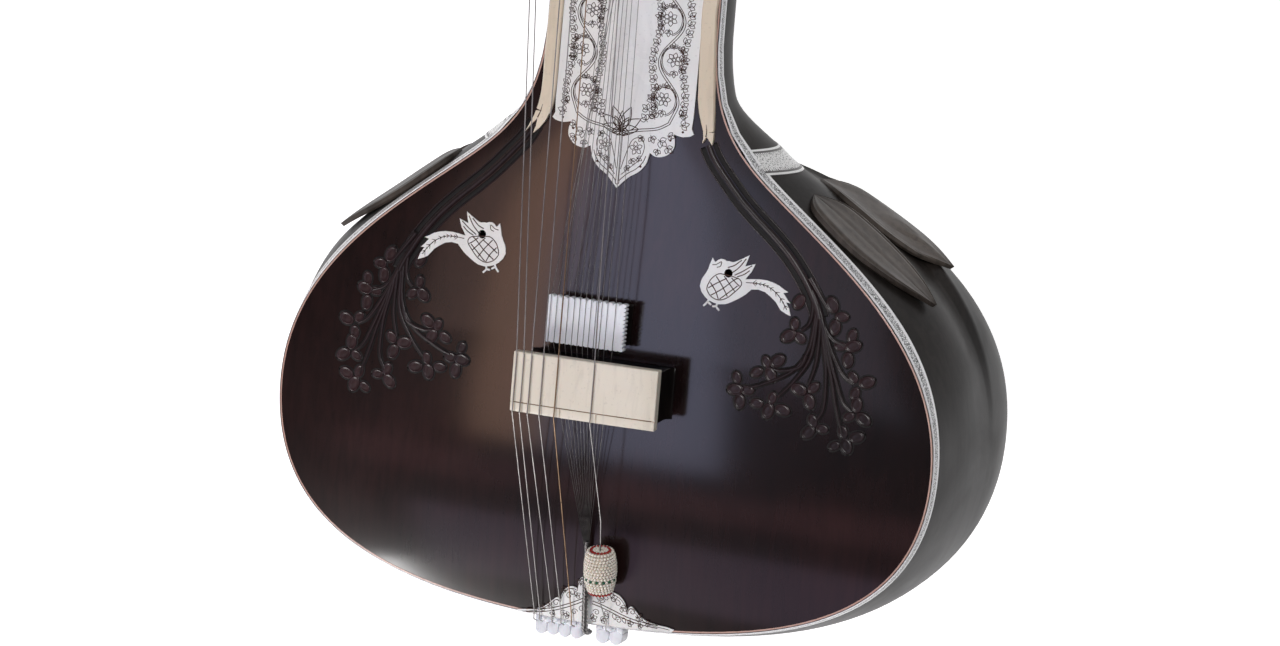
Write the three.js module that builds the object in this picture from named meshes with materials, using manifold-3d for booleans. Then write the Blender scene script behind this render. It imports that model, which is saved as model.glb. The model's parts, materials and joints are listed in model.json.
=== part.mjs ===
// A sitar lying on its back: a gourd closed by a domed soundboard, a long hollow neck with
// curved movable frets, two bridges, six playing strings and twelve sympathetic strings.
//
// The instrument is modelled upright on its own axes: X across the face, Y from the widest line
// of the soundboard towards the head, Z out of the face, zero at the soundboard's edge. At the
// end the whole instrument is tilted back until the gourd and the head rest on one floor, and
// the origin is moved to the middle of the gourd's resting flat.

import * as THREE from 'three'
import { mergeVertices } from 'three/addons/utils/BufferGeometryUtils.js'
import Module from 'manifold-3d'

const wasm = await Module()
wasm.setup()

// Soundboard and body outline
const boardHalfWidth = 174
const boardLow = 100
const boardThickness = 3
const boardDome = 9.5
const boardShoulderHalf = 97.5
const boardShoulderAt = 116
const heelJointAt = 142
const heelEndAt = 172
const neckFootHalf = 44.8
const neckFootAt = 200
const footCamber = 3.2
const soundHolePlaces = [[62.2, 88], [-68.7, 90.6]]
const soundHoleRadius = 2.2

// Gourd
const gourdHalfWidth = 181
const gourdDepth = 248
const gourdGirthDepth = 96
const gourdTailBulge = 14
const gourdWall = 7
const gourdTopAt = 110
const gourdRestDepth = 0.6

// Heel and neck
const heelDepth = 84
const heelWall = 9
const heelSwell = 14
const neckDepth = 58
const neckHeadDepth = 52
const neckHeadHalf = 41
const neckSwell = 1.5
const neckWall = 9
const neckFloorWall = 8
const headEndWall = 12
const headBeyondNut = 198.1
const headRestDepth = 1.6

// Raised bindings along the neck plate's edges
const bindingHeight = 2.2
const bindingWidth = 7.6
const bindingInset = 0.5
const bindingFootAt = 156

// Leaves over the joint of gourd and heel
const leafCollarThickness = 2.4
const leafCollarTopAt = 122
const leafCollarLowAt = 102
const leafRimGap = 9
const leafThickness = 3.6
const leafTipLift = 2.4
const leafRootsAt = [126, 128, 127, 126]
const leafTipsAt = [77, 88, 84, 84]

// Engraved plates
const plateThickness = 0.8
const inlayTipAt = 122.5
const inlayEndAt = 238
const inlayHalf = 36
const inlayFootHeight = 32
const tailPlateHalf = 40
const tailPlateMiddle = 5.5
const tailPlateHeight = 18
const tailPlateBase = 3
const hangerLeft = -27
const hangerRight = 20
const hangerSlot = [-1.6, 5.6]
const hangerReach = 10.5
const hangerTop = 4
const hangerHeight = 11
const hangerLobe = 3.6

// Main bridge
const bridgeAt = 24.9
const bridgeMiddle = 2.6
const bridgeHalf = 38
const bridgeWidth = 30.4
const bridgeTop = 38
const bridgeTopThickness = 6.4
const bridgeTopCrown = 0.8
const bridgeBeamThickness = 6.6
const bridgeFootLength = 8
const bridgeHaunch = 1.6
const bridgeBaseInset = 2.2
const bridgeGrooveDepth = 0.6
const bridgeGrooveFromEdge = 4.6

// Sympathetic bridge
const lowBridgeAt = 56.4
const lowBridgeMiddle = -4
const lowBridgeHalf = 20.7
const lowBridgeWidth = 24
const lowBridgeTop = 23.6
const lowBridgeTopThickness = 4.6
const lowBridgeFootLength = 8
const lowBridgeFootGap = 3.4
const lowBridgeBaseInset = 1.8

// Nut and string guide
const scaleLength = 885
const nutHalf = 33
const nutMiddle = 0
const nutThickness = 4
const nutTop = 29.6
const guideGap = 13
const guideTop = 29.4
const guideHole = 1.2
const guideDrop = 3

// Frets
const fretHalf = 39.6
const fretTop = 26.4
const fretWidth = 4.4
const fretHeight = 3.4
const fretSquareness = 2.5
const octave = 12
const fretSemitones = [1, 2, 3, 4, 5, 6, 7, 9, 10, 11, 12, 13, 14, 16, 17, 18, 19, 21, 23]

// Pegs
const mainShaft = 4.6
const mainHeadRadius = 14.5
const mainHeadLength = 46
const mainReach = 20
const lowShaft = 3
const lowHeadRadius = 7
const lowHeadLength = 21
const lowReach = 13
const pegAxisDepth = 25
const frontPegStand = 16
const frontPegSeat = 3
const pegClearance = 0.45
const pegHeadGap = 0.8
const pegWindHeight = 9
const lowPegGaps = [18, 17, 12, 11, 10, 9, 8, 6, 5, 4, 3, 2]
const chikariPegGaps = [7, 13]
const firstHeadPeg = 52
const headPegStep = 38
const frontPegX = [-2, -16]

// Strings
const playingWire = 0.3
const lowWire = 0.25
const bundleRadius = 1.5
const postRadius = 1.8
const postTop = 31.6
const postFootX = -42.2
const postTopX = [-44.8, -46.3]
const postGaps = [17, 18]
const bridgeStringX = [7.8, -11.3, -19.1, -25.4, -29.6, -33.5]
const tailStringX = [13, -5.6, -11.2, -16.1, -22.8, -25.8]
const nutStringX = [-11, -18, -25, -31]
const lowStringX = [-22.7, -19.5, -16.7, -13.5, -10.3, -7.3, -4.3, -1.5, 1.3, 4.2, 7.2, 11.4]
const bundleX = 2
const bundleTopAt = -58
const bundleTopHeight = 10.5
const lowEntryX = -3
const lowEntryLead = 6
const tailHookDepth = 3.2

// Bead on the main string
const beadRadius = 9.3
const beadEndRadius = 6.4
const beadLength = 23.5
const beadAt = -69
const beadSlope = 0.22
const beadRun = 15
const beadBore = 0.9

// Clearances
const gap = 0.35
const overrun = 4
const weld = 1e-5

const nutAt = bridgeAt + scaleLength
const headEndAt = nutAt + headBeyondNut
const flareStart = new THREE.Vector2(boardShoulderHalf, boardShoulderAt)
const shoulderTurn = new THREE.Vector2(-0.784, 0.621)
const flankShares = { rise: 0.47, run: 0.38 }
const tailShares = { across: 0.72, up: 0.64 }
const flareShares = { run: 0.48, fall: 0.56, lean: 0.02 }

// The outline of the soundboard is three Bezier arcs from tail to neck on its right side
const tailArc = new THREE.CubicBezierCurve(
  new THREE.Vector2(0, -boardLow),
  new THREE.Vector2(boardHalfWidth * tailShares.across, -boardLow),
  new THREE.Vector2(boardHalfWidth, -boardLow * tailShares.up),
  new THREE.Vector2(boardHalfWidth, 0)
)
const flankArc = new THREE.CubicBezierCurve(
  new THREE.Vector2(boardHalfWidth, 0),
  new THREE.Vector2(boardHalfWidth, boardShoulderAt * flankShares.rise),
  flareStart.clone().addScaledVector(shoulderTurn, -boardShoulderAt * flankShares.run),
  flareStart
)
const flareRun = neckFootAt - boardShoulderAt
const flareArc = new THREE.CubicBezierCurve(
  flareStart,
  flareStart.clone().addScaledVector(shoulderTurn, flareRun * flareShares.run),
  new THREE.Vector2(neckFootHalf + flareRun * flareShares.lean, neckFootAt - flareRun * flareShares.fall),
  new THREE.Vector2(neckFootHalf, neckFootAt)
)

// Half-width of the flare at a height y, found on its Bezier arc
function flareHalfWidth(y) {
  let low = 0
  let high = 1
  for (let step = 0; step < 30; step += 1) {
    const middle = (low + high) / 2
    if (flareArc.getPoint(middle).y < y) low = middle
    else high = middle
  }
  return flareArc.getPoint(low).x
}

const heelHalf = flareHalfWidth(heelJointAt)

function neckHalfWidth(y) {
  if (y < neckFootAt) return flareHalfWidth(y)
  const share = (y - neckFootAt) / (headEndAt - neckFootAt)
  return THREE.MathUtils.lerp(neckFootHalf, neckHeadHalf, share)
}

function neckDepthAt(y) {
  if (y < neckFootAt) {
    const share = THREE.MathUtils.smoothstep(y, heelJointAt, heelEndAt)
    return THREE.MathUtils.lerp(heelDepth, neckDepth, share)
  }
  const share = (y - neckFootAt) / (headEndAt - neckFootAt)
  return THREE.MathUtils.lerp(neckDepth, neckHeadDepth, share)
}

// Half-width of a neck or heel section, as a share of its width, at a share of its depth
const sectionPower = 2.6
function sectionShare(depthShare, swellShare) {
  const inside = Math.max(0, 1 - Math.pow(depthShare, sectionPower))
  return (1 + swellShare * Math.sin(Math.PI * depthShare)) * Math.pow(inside, 1 / sectionPower)
}

// Height of the face: a dome over the gourd that runs out into the neck's low camber
const camberPower = 2.2
const domePower = 2.5
function camberShare(x, halfWidth) {
  if (halfWidth <= 0) return 0
  return 1 - Math.pow(Math.min(1, Math.abs(x) / halfWidth), camberPower)
}

function crownAt(y) {
  if (y < 0) return boardDome * Math.max(0, 1 - Math.pow(-y / boardLow, domePower))
  const share = THREE.MathUtils.smoothstep(y, boardShoulderAt / 3, heelJointAt)
  return THREE.MathUtils.lerp(boardDome, footCamber, share)
}

const tailSteps = 9
const flankSteps = 6
const flareSteps = 3
const halfOutline = [
  ...tailArc.getPoints(tailSteps),
  ...flankArc.getPoints(flankSteps).slice(1),
  ...Array.from({ length: flareSteps }, (_, i) => {
    const y = THREE.MathUtils.lerp(boardShoulderAt, heelJointAt, (i + 1) / flareSteps)
    return new THREE.Vector2(flareHalfWidth(y), y)
  })
]

function boardHalfWidthAt(y) {
  for (let i = 0; i + 1 < halfOutline.length; i += 1) {
    const low = halfOutline[i]
    const high = halfOutline[i + 1]
    if (y <= high.y) {
      const share = Math.max(0, (y - low.y) / (high.y - low.y || 1))
      return THREE.MathUtils.lerp(low.x, high.x, share)
    }
  }
  return neckHalfWidth(y)
}

function faceHeight(x, y) {
  return crownAt(y) * camberShare(x, boardHalfWidthAt(y))
}

// Closed solids from stacks of rings

function ringNormal(ring) {
  const normal = new THREE.Vector3()
  ring.forEach((p, i) => {
    const q = ring[(i + 1) % ring.length]
    normal.x += (p.y - q.y) * (p.z + q.z)
    normal.y += (p.z - q.z) * (p.x + q.x)
    normal.z += (p.x - q.x) * (p.y + q.y)
  })
  return normal.normalize()
}

function capFaces(ring) {
  const normal = ringNormal(ring)
  const side = Math.abs(normal.x) < 0.9 ? new THREE.Vector3(1, 0, 0) : new THREE.Vector3(0, 1, 0)
  const u = side.cross(normal).normalize()
  const v = normal.clone().cross(u)
  const flat = ring.map((p) => new THREE.Vector2(p.dot(u), p.dot(v)))
  return THREE.ShapeUtils.triangulateShape(flat, []).map(([a, b, c]) => {
    const ab = flat[b].clone().sub(flat[a])
    const ac = flat[c].clone().sub(flat[a])
    return ab.cross(ac) > 0 ? [ring[a], ring[b], ring[c]] : [ring[a], ring[c], ring[b]]
  })
}

function volumeOf(faces) {
  return faces.reduce((sum, [a, b, c]) => sum + a.dot(b.clone().cross(c)), 0)
}

function geometryFromFaces(faces) {
  const outward = volumeOf(faces) > 0
  const positions = faces.flatMap(([a, b, c]) => (outward ? [a, b, c] : [a, c, b]))
  return new THREE.BufferGeometry().setFromPoints(positions)
}

// A loft joins rings of equal length; a ring of one point closes the end as a pole
function loft(rings) {
  const faces = []
  for (let r = 0; r + 1 < rings.length; r += 1) {
    const low = rings[r]
    const high = rings[r + 1]
    const count = Math.max(low.length, high.length)
    for (let i = 0; i < count; i += 1) {
      const j = (i + 1) % count
      if (low.length > 1) faces.push([low[i], low[j], high[j % high.length]])
      if (high.length > 1) faces.push([low[i % low.length], high[j], high[i]])
    }
  }
  const first = rings[0]
  const last = rings[rings.length - 1]
  if (last.length > 1) faces.push(...capFaces(last))
  if (first.length > 1) faces.push(...capFaces(first).map(([a, b, c]) => [a, c, b]))
  return geometryFromFaces(faces)
}

// Joins and cuts

function solid(geometry) {
  const bare = new THREE.BufferGeometry()
  bare.setAttribute('position', geometry.getAttribute('position'))
  if (geometry.index) bare.setIndex(geometry.index)
  const merged = mergeVertices(bare, weld)
  return new wasm.Manifold(
    new wasm.Mesh({
      numProp: 3,
      vertProperties: Float32Array.from(merged.getAttribute('position').array),
      triVerts: Uint32Array.from(merged.index.array)
    })
  )
}

function geometryOf(body) {
  const mesh = body.getMesh()
  const geometry = new THREE.BufferGeometry()
  geometry.setAttribute('position', new THREE.BufferAttribute(mesh.vertProperties, 3))
  geometry.setIndex(new THREE.BufferAttribute(mesh.triVerts, 1))
  return geometry
}

// Where joined pieces enclose a thin pocket, only the outer skin is kept
function outerSkin(body) {
  return body.decompose().reduce((a, b) => (a.volume() > b.volume() ? a : b))
}

function block(x, y, z) {
  const box = new THREE.BoxGeometry(x[1] - x[0], y[1] - y[0], z[1] - z[0])
  return box.translate((x[0] + x[1]) / 2, (y[0] + y[1]) / 2, (z[0] + z[1]) / 2)
}

function roundBar(radius, from, to, sides) {
  const start = new THREE.Vector3(...from)
  const end = new THREE.Vector3(...to)
  const along = end.clone().sub(start)
  const bar = new THREE.CylinderGeometry(radius, radius, along.length(), sides)
  const turn = new THREE.Quaternion().setFromUnitVectors(
    new THREE.Vector3(0, 1, 0),
    along.clone().normalize()
  )
  bar.applyQuaternion(turn)
  return bar.translate(...start.add(end).multiplyScalar(0.5).toArray())
}

const holeSides = 10

// Body shell: rings at growing depth, from the soundboard's outline to the back of the gourd

function superQuarter(share, power) {
  return Math.pow(Math.max(0, 1 - Math.pow(share, power)), 1 / power)
}

const backPower = 2.05
const backPoleAt = -4
const backArcShares = { lean: 0.14, drop: 0.16, out: 0.72 }

// The back line falls from the heel's underside to the gourd's pole
function backTopAt(depth, heelBack, fullDepth, joint) {
  if (depth <= heelBack) return joint
  const arc = new THREE.CubicBezierCurve(
    new THREE.Vector2(joint, heelBack),
    new THREE.Vector2(joint * (1 - backArcShares.lean), heelBack + fullDepth * backArcShares.drop),
    new THREE.Vector2(joint * backArcShares.out, fullDepth),
    new THREE.Vector2(backPoleAt, fullDepth)
  )
  let low = 0
  let high = 1
  for (let step = 0; step < 30; step += 1) {
    const middle = (low + high) / 2
    if (arc.getPoint(middle).y < depth) low = middle
    else high = middle
  }
  return arc.getPoint(low).x
}

// Sizes of the shell at one depth; inset is the wall for the hollow inside
function shellAt(depth, inset) {
  const full = gourdDepth - inset
  const heelBack = inset > 0 ? heelDepth - heelWall : (heelDepth * full) / gourdDepth
  const girth = gourdHalfWidth - inset
  const rim = boardHalfWidth - inset
  const below = Math.max(0, depth - gourdGirthDepth) / (full - gourdGirthDepth)
  const above = Math.max(0, gourdGirthDepth - depth) / gourdGirthDepth
  const closing = superQuarter(below, backPower)
  const half = depth < gourdGirthDepth ? girth - (girth - rim) * above * above : girth * closing
  const bulge = gourdTailBulge * (1 - above * above)
  const tail = boardLow - inset + bulge
  const low = depth < gourdGirthDepth ? -tail : backPoleAt - (tail + backPoleAt) * closing
  const heelShare = Math.min(1, depth / heelBack)
  const heelSide = (heelHalf - inset) * (1 + (heelSwell / heelHalf) * Math.sin(Math.PI * heelShare))
  const round = 1 - sectionShare(heelShare, 0)
  const top = backTopAt(depth, heelBack, full, heelJointAt)
  return { half, low, heelSide, round, top }
}

const tailRoundShare = 0.7
const shoulderShare = 0.4
const shoulderPower = 2.2
function shellRing(depth, inset, extra = 0) {
  const { half, low, heelSide, round, top } = shellAt(depth, inset)
  const scale = half / boardHalfWidth
  const tailMix = tailRoundShare * THREE.MathUtils.smoothstep(depth, 0, gourdDepth)
  const upperCount = halfOutline.length - 1 - tailSteps
  const right = halfOutline.map((point, i) => {
    if (i <= tailSteps) {
      const angle = ((i / tailSteps) * Math.PI) / 2
      const boardX = (point.x / boardHalfWidth) * half
      const boardY = (-point.y / boardLow) * low
      const x = THREE.MathUtils.lerp(boardX, half * Math.sin(angle), tailMix)
      const y = THREE.MathUtils.lerp(boardY, low * Math.cos(angle), tailMix)
      return new THREE.Vector3(x, y, -depth)
    }
    const angle = (((i - tailSteps) / upperCount) * Math.PI) / 2
    const along = THREE.MathUtils.smoothstep((i - tailSteps) / upperCount, 0, shoulderShare)
    const swell = along * (heelSide - heelHalf * scale)
    const roundX = half * Math.pow(Math.max(0, Math.cos(angle)), 2 / shoulderPower)
    const roundY = top * Math.pow(Math.sin(angle), 2 / shoulderPower)
    const x = THREE.MathUtils.lerp(point.x * scale + swell, roundX, round)
    const y = THREE.MathUtils.lerp((point.y / heelJointAt) * top, roundY, round)
    return new THREE.Vector3(x, y, -depth)
  })
  const last = right[right.length - 1]
  if (round < 1) last.y += extra
  const left = right.slice(1).reverse().map((p) => new THREE.Vector3(-p.x, p.y, p.z))
  if (last.x < gap) {
    last.x = 0
    left.shift()
    left.unshift(new THREE.Vector3(0, last.y - gap, last.z))
  }
  return [...right, ...left]
}

const shellDepthShares = [0.06, 0.14, 0.22, 0.29, 0.335, 0.37, 0.44, 0.53, 0.63, 0.73, 0.82, 0.9, 0.96]
const hollowDepthShares = [0.14, 0.26, 0.33, 0.44, 0.58, 0.72, 0.85, 0.95]

// The shell starts under the soundboard's edge; rise carries its rim outline straight up
function shellSolid(inset, rise, shares, extra) {
  const full = gourdDepth - inset
  const depths = shares.map((share) => share * full)
  const rings = depths.map((depth) => shellRing(depth, inset, extra))
  const heights = rise > 0 ? [rise - rimDepth, -rimDepth] : [-rimDepth]
  const rimRing = shellRing(0, inset, extra)
  const rims = heights.map((z) => rimRing.map((p) => new THREE.Vector3(p.x, p.y, z)))
  const pole = [new THREE.Vector3(0, backPoleAt, -full)]
  return solid(loft([...rims, ...rings, pole]))
}

const rimDepth = boardThickness + gap
const outerShell = shellSolid(0, 0, shellDepthShares, 0)
const innerShell = shellSolid(gourdWall, overrun, hollowDepthShares, overrun)
const bodyShell = outerShell.subtract(innerShell)
const everywhere = headEndAt * 2

function upperHalfSpace(y) {
  return solid(block([-everywhere, everywhere], [y, everywhere], [-everywhere, everywhere]))
}

// Neck sections, at stations along Y

function neckRing(y, wall, top) {
  const half = neckHalfWidth(y) - wall
  const depth = neckDepthAt(y) - (wall ? neckFloorWall : 0)
  const straight = THREE.MathUtils.smoothstep(y, heelJointAt, heelEndAt)
  const swell = THREE.MathUtils.lerp(heelSwell / heelHalf, neckSwell / neckFootHalf, straight)
  const steps = 7
  const first = Math.asin(rimDepth / depth)
  const right = Array.from({ length: steps }, (_, i) => {
    const share = Math.sin(THREE.MathUtils.lerp(first, Math.PI / 2, i / steps))
    const z = i === 0 ? -top : -depth * share
    return new THREE.Vector3(half * sectionShare(share, swell), y, z)
  })
  const left = right.map((p) => new THREE.Vector3(-p.x, y, p.z)).reverse()
  return [...right, new THREE.Vector3(0, y, -depth), ...left]
}

const neckStationShares = [0.16, 0.34, 0.58]
function neckStations(from, to) {
  const flare = neckStationShares.map((share) => THREE.MathUtils.lerp(heelJointAt, neckFootAt, share))
  return [from, ...flare, neckFootAt, (neckFootAt + headEndAt) / 2, to]
}

// Fret and peg places. A gap is counted by the fret on its head side; pegs and posts stand in the
// middle of their gaps, and the two front pegs on the head

function fretPlace(semitone) {
  return bridgeAt + scaleLength * Math.pow(2, -semitone / octave)
}

function gapPlace(fret) {
  return (fretPlace(fretSemitones[fret - 1]) + fretPlace(fretSemitones[fret])) / 2
}

const lowPegPlaces = lowPegGaps.map(gapPlace)
const chikariPegPlaces = chikariPegGaps.map(gapPlace)
const postPlaces = postGaps.map(gapPlace)
const headPegPlaces = [0, 1, 2, 3].map((i) => nutAt + firstHeadPeg + i * headPegStep)
const frontPegs = [
  { x: frontPegX[0], y: headPegPlaces[0] },
  { x: frontPegX[1], y: headPegPlaces[2] }
]
const sideMainPegs = [headPegPlaces[1], headPegPlaces[3], ...chikariPegPlaces]

// Head profiles of the pegs: radius and length shares, from the shaft outwards
const mainHeadShares = [
  [0.55, 0], [0.62, 0.06], [0.34, 0.14], [0.62, 0.3], [1, 0.52], [0.92, 0.74], [0.5, 0.9], [0.28, 0.94],
  [0.3, 1]
]
const lowHeadShares = [[0.72, 0], [0.6, 0.2], [1, 0.55], [0.82, 0.86], [0.3, 1]]

function sideHole(radius, y) {
  const outer = neckHalfWidth(y) + overrun
  return solid(roundBar(radius, [-outer, y, -pegAxisDepth], [-pegAxisDepth, y, -pegAxisDepth], holeSides))
}

function buildNeck() {
  const start = heelJointAt + gap
  const stations = neckStations(start, headEndAt)
  const outer = solid(loft(stations.map((y) => neckRing(y, 0, rimDepth))))
  const hollowStations = neckStations(start - overrun, headEndAt - headEndWall)
  const hollow = solid(loft(hollowStations.map((y) => neckRing(y, neckWall, rimDepth - overrun))))
  let neck = outer.subtract(hollow)
  sideMainPegs.forEach((y) => {
    neck = neck.subtract(sideHole(mainShaft + pegClearance, y))
  })
  lowPegPlaces.forEach((y) => {
    neck = neck.subtract(sideHole(lowShaft + pegClearance, y))
  })
  frontPegs.forEach(({ x, y }) => {
    const floor = -neckDepthAt(y) + neckFloorWall
    const seat = roundBar(mainShaft + pegClearance, [x, y, floor - frontPegSeat], [x, y, 0], holeSides)
    neck = neck.subtract(solid(seat))
  })
  return neck
}

// The face: rings of the soundboard shrink towards its middle and follow the dome

const boardRingShares = [1, 0.94, 0.82, 0.64, 0.42, 0.2]
const endLineShares = [0.75, 0.45, 0.15, -0.15, -0.45, -0.75]

function boardRing(share, height) {
  const right = halfOutline.map((p) => new THREE.Vector2(p.x, p.y))
  const end = endLineShares.map((across) => new THREE.Vector2(heelHalf * across, heelJointAt))
  const left = right.slice(1).reverse().map((p) => new THREE.Vector2(-p.x, p.y))
  return [...right, ...end, ...left].map((p) => {
    const x = p.x * share
    const y = p.y * share
    return new THREE.Vector3(x, y, height(x, y))
  })
}

function boardLayer(low, high) {
  const top = (x, y) => faceHeight(x, y) + high
  const bottom = (x, y) => faceHeight(x, y) + low
  const upper = boardRingShares.map((share) => boardRing(share, top))
  const lower = boardRingShares.map((share) => boardRing(share, bottom)).reverse()
  const topPole = [new THREE.Vector3(0, 0, top(0, 0))]
  const bottomPole = [new THREE.Vector3(0, 0, bottom(0, 0))]
  return solid(loft([bottomPole, ...lower, ...upper, topPole]))
}

// The same face over the neck, as sections with an even camber
const camberShares = [-1, -0.75, -0.45, -0.15, 0.15, 0.45, 0.75, 1]
const plateStations = [0.25, 0.5, 0.75]

function neckLayer(from, to, low, high, reach) {
  const flare = plateStations.map((share) => THREE.MathUtils.lerp(heelJointAt, neckFootAt, share))
  const stations = [from, ...flare.filter((y) => y < to), neckFootAt, to].filter((y) => y <= to)
  const rings = [...new Set(stations)].map((y) => {
    const half = neckHalfWidth(y) * reach
    const face = camberShares.map((share) => new THREE.Vector3(share * half, y, faceHeight(share * half, y)))
    const top = face.map((p) => new THREE.Vector3(p.x, y, p.z + high))
    const bottom = face.map((p) => new THREE.Vector3(p.x, y, p.z + low))
    return [...top, ...bottom.reverse()]
  })
  return solid(loft(rings))
}

function buildSoundboard() {
  let board = boardLayer(-boardThickness, 0)
  const reach = boardDome + overrun
  soundHolePlaces.forEach(([x, y]) => {
    const hole = roundBar(soundHoleRadius, [x, y, -reach], [x, y, reach], holeSides)
    board = board.subtract(solid(hole))
  })
  return board
}

// What stands on the face is cut by the face itself, raised by the clearance
const underBoard = boardLayer(-boardDome - overrun, gap)
const underNeckPlate = neckLayer(heelJointAt + gap, headEndAt, -overrun * 2, gap, 1)
function seatOnFace(body) {
  return body.subtract(underBoard).subtract(underNeckPlate)
}

function bindingSolid(side) {
  const stations = [bindingFootAt, neckFootAt, headEndAt - headEndWall]
  const rings = stations.map((y) => {
    const outer = neckHalfWidth(y) - bindingInset
    const inner = outer - bindingWidth
    const top = bindingTopAt(y)
    return [
      new THREE.Vector3(side * outer, y, -boardThickness / 2),
      new THREE.Vector3(side * outer, y, top),
      new THREE.Vector3(side * inner, y, top),
      new THREE.Vector3(side * inner, y, -boardThickness / 2)
    ]
  })
  return solid(loft(rings))
}

function bindingTopAt(y) {
  return faceHeight(neckHalfWidth(y) - bindingInset - bindingWidth, y) + bindingHeight
}

function buildNeckPlate() {
  let plate = neckLayer(heelJointAt + gap, headEndAt, -boardThickness, 0, 1)
  plate = plate.add(bindingSolid(1)).add(bindingSolid(-1))
  postPlaces.forEach((y, index) => {
    const tip = [postTopX[index], y, postTop]
    plate = plate.add(solid(roundBar(postRadius, [postFootX, y, 0], tip, holeSides)))
  })
  frontPegs.forEach(({ x, y }) => {
    const hole = roundBar(mainShaft + pegClearance, [x, y, -overrun * 2], [x, y, overrun * 2], holeSides)
    plate = plate.subtract(solid(hole))
  })
  return plate
}

// Leaves and collar on the shell's outside

function shellHalfWidth(y, depth) {
  const ring = shellRing(depth, 0)
  const half = ring.slice(tailSteps, halfOutline.length)
  for (let i = 0; i + 1 < half.length; i += 1) {
    if (y <= half[i + 1].y) {
      const share = (y - half[i].y) / (half[i + 1].y - half[i].y || 1)
      return THREE.MathUtils.lerp(half[i].x, half[i + 1].x, share)
    }
  }
  return 0
}

// The point where a ray from the body's inside, turned down by an angle, leaves the shell
const rayDepth = 20
function shellPoint(y, angle, side) {
  let low = 0
  let high = gourdDepth
  for (let step = 0; step < 24; step += 1) {
    const middle = (low + high) / 2
    const depth = rayDepth + middle * Math.sin(angle)
    const across = Math.abs(middle * Math.cos(angle))
    const inside = depth < gourdDepth && across < shellHalfWidth(y, Math.max(0, depth))
    if (inside) low = middle
    else high = middle
  }
  const x = side * low * Math.cos(angle)
  return new THREE.Vector3(x, y, -rayDepth - low * Math.sin(angle))
}

function shellFrame(y, angle, side) {
  const point = shellPoint(y, angle, side)
  const along = shellPoint(y + 2 * gap, angle, side).sub(point)
  const around = shellPoint(y, angle + gap / 10, side).sub(point)
  const normal = along.cross(around).normalize()
  if (normal.x * side * Math.cos(angle) - normal.z * Math.sin(angle) < 0) normal.negate()
  return { point, normal }
}

function raised(y, angle, side, lift) {
  const { point, normal } = shellFrame(y, angle, side)
  return point.addScaledVector(normal, lift)
}

const collarAngleSteps = 11
const collarLapAngle = 0.01
const rimAngle = -Math.asin((rayDepth - leafRimGap) / heelHalf)

function collarSolid(side) {
  const rings = Array.from({ length: collarAngleSteps + 1 }, (_, i) => {
    const past = i === collarAngleSteps ? collarLapAngle : 0
    const angle = THREE.MathUtils.lerp(rimAngle, Math.PI / 2 + past, i / collarAngleSteps)
    return [
      raised(leafCollarLowAt, angle, side, -leafCollarThickness),
      raised(leafCollarTopAt, angle, side, -leafCollarThickness),
      raised(leafCollarTopAt, angle, side, leafCollarThickness * 0.5),
      raised(leafCollarLowAt, angle, side, leafCollarThickness)
    ]
  })
  return solid(loft(rings))
}

// One carved leaf: angle and place of its root and tip, and its half-width in radians
const leafEdgeShare = 0.55
const leafSinkShare = 0.4
const leafSectionShares = [0, 0.18, 0.42, 0.7, 0.92]
const leafWidthShares = [0.5, 0.86, 1, 0.72, 0.25]

function leafSolid({ side, rootAngle, tipAngle, rootAt, tipAt, half }) {
  const rings = leafSectionShares.map((share, i) => {
    const y = THREE.MathUtils.lerp(rootAt, tipAt, share)
    const angle = THREE.MathUtils.lerp(rootAngle, tipAngle, share)
    const spread = half * leafWidthShares[i]
    const lift = leafTipLift * Math.pow(share, 2.5)
    const crest = lift + leafThickness
    const edge = lift + leafThickness * leafEdgeShare
    const under = lift - leafThickness * leafSinkShare
    return [
      raised(y, angle - spread, side, under),
      raised(y, angle, side, under),
      raised(y, angle + spread, side, under),
      raised(y, angle + spread, side, edge),
      raised(y, angle + spread / 2, side, crest),
      raised(y, angle, side, edge),
      raised(y, angle - spread / 2, side, crest),
      raised(y, angle - spread, side, edge)
    ]
  })
  const tip = [raised(tipAt, tipAngle, side, leafTipLift + leafThickness / 2)]
  return solid(loft([...rings, tip]))
}

// Leaves from the rim to the middle of the back: turn of the root and tip, and half-width
const leafTurns = [
  { rootAngle: 0.02, tipAngle: 0.05, half: 0.13 },
  { rootAngle: 0.46, tipAngle: 0.44, half: 0.19 },
  { rootAngle: 0.98, tipAngle: 0.94, half: 0.2 },
  { rootAngle: Math.PI / 2, tipAngle: Math.PI / 2, half: 0.2 }
]

function buildLeafCollar() {
  let collar = collarSolid(1).add(collarSolid(-1))
  const sides = [1, -1]
  sides.forEach((side) => {
    leafTurns.forEach((turn, index) => {
      const middle = index === leafTurns.length - 1
      const place = { rootAt: leafRootsAt[index], tipAt: leafTipsAt[index] }
      if (side > 0 || !middle) collar = collar.add(leafSolid({ ...turn, ...place, side }))
    })
  })
  return outerSkin(collar.subtract(shellSolid(-gap, overrun * 2, shellDepthShares, 0)))
}

// Engraved plates: an outline cut out of a thin layer of the face

function prism(points, low, high) {
  const shape = new THREE.Shape(points)
  const geometry = new THREE.ExtrudeGeometry(shape, { depth: high - low, bevelEnabled: false })
  return solid(geometry.translate(0, 0, low))
}

function mirrored(points) {
  const left = points.slice().reverse().filter((p) => p.x > 0).map((p) => new THREE.Vector2(-p.x, p.y))
  return [...points, ...left]
}

// Scalloped foot of the inlay plate, as shares of its half-width and of the foot's height
const inlayShares = [
  [0, 0], [0.19, 0.21], [0.34, 0.36], [0.42, 0.55], [0.46, 0.63], [0.65, 0.62], [0.73, 0.71],
  [0.78, 0.94], [0.93, 0.96], [1.03, 0.97]
]
const inlayTopShares = [[1, 0.94], [0.86, 1], [0.4, 0.97], [0, 1.05]]

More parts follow.
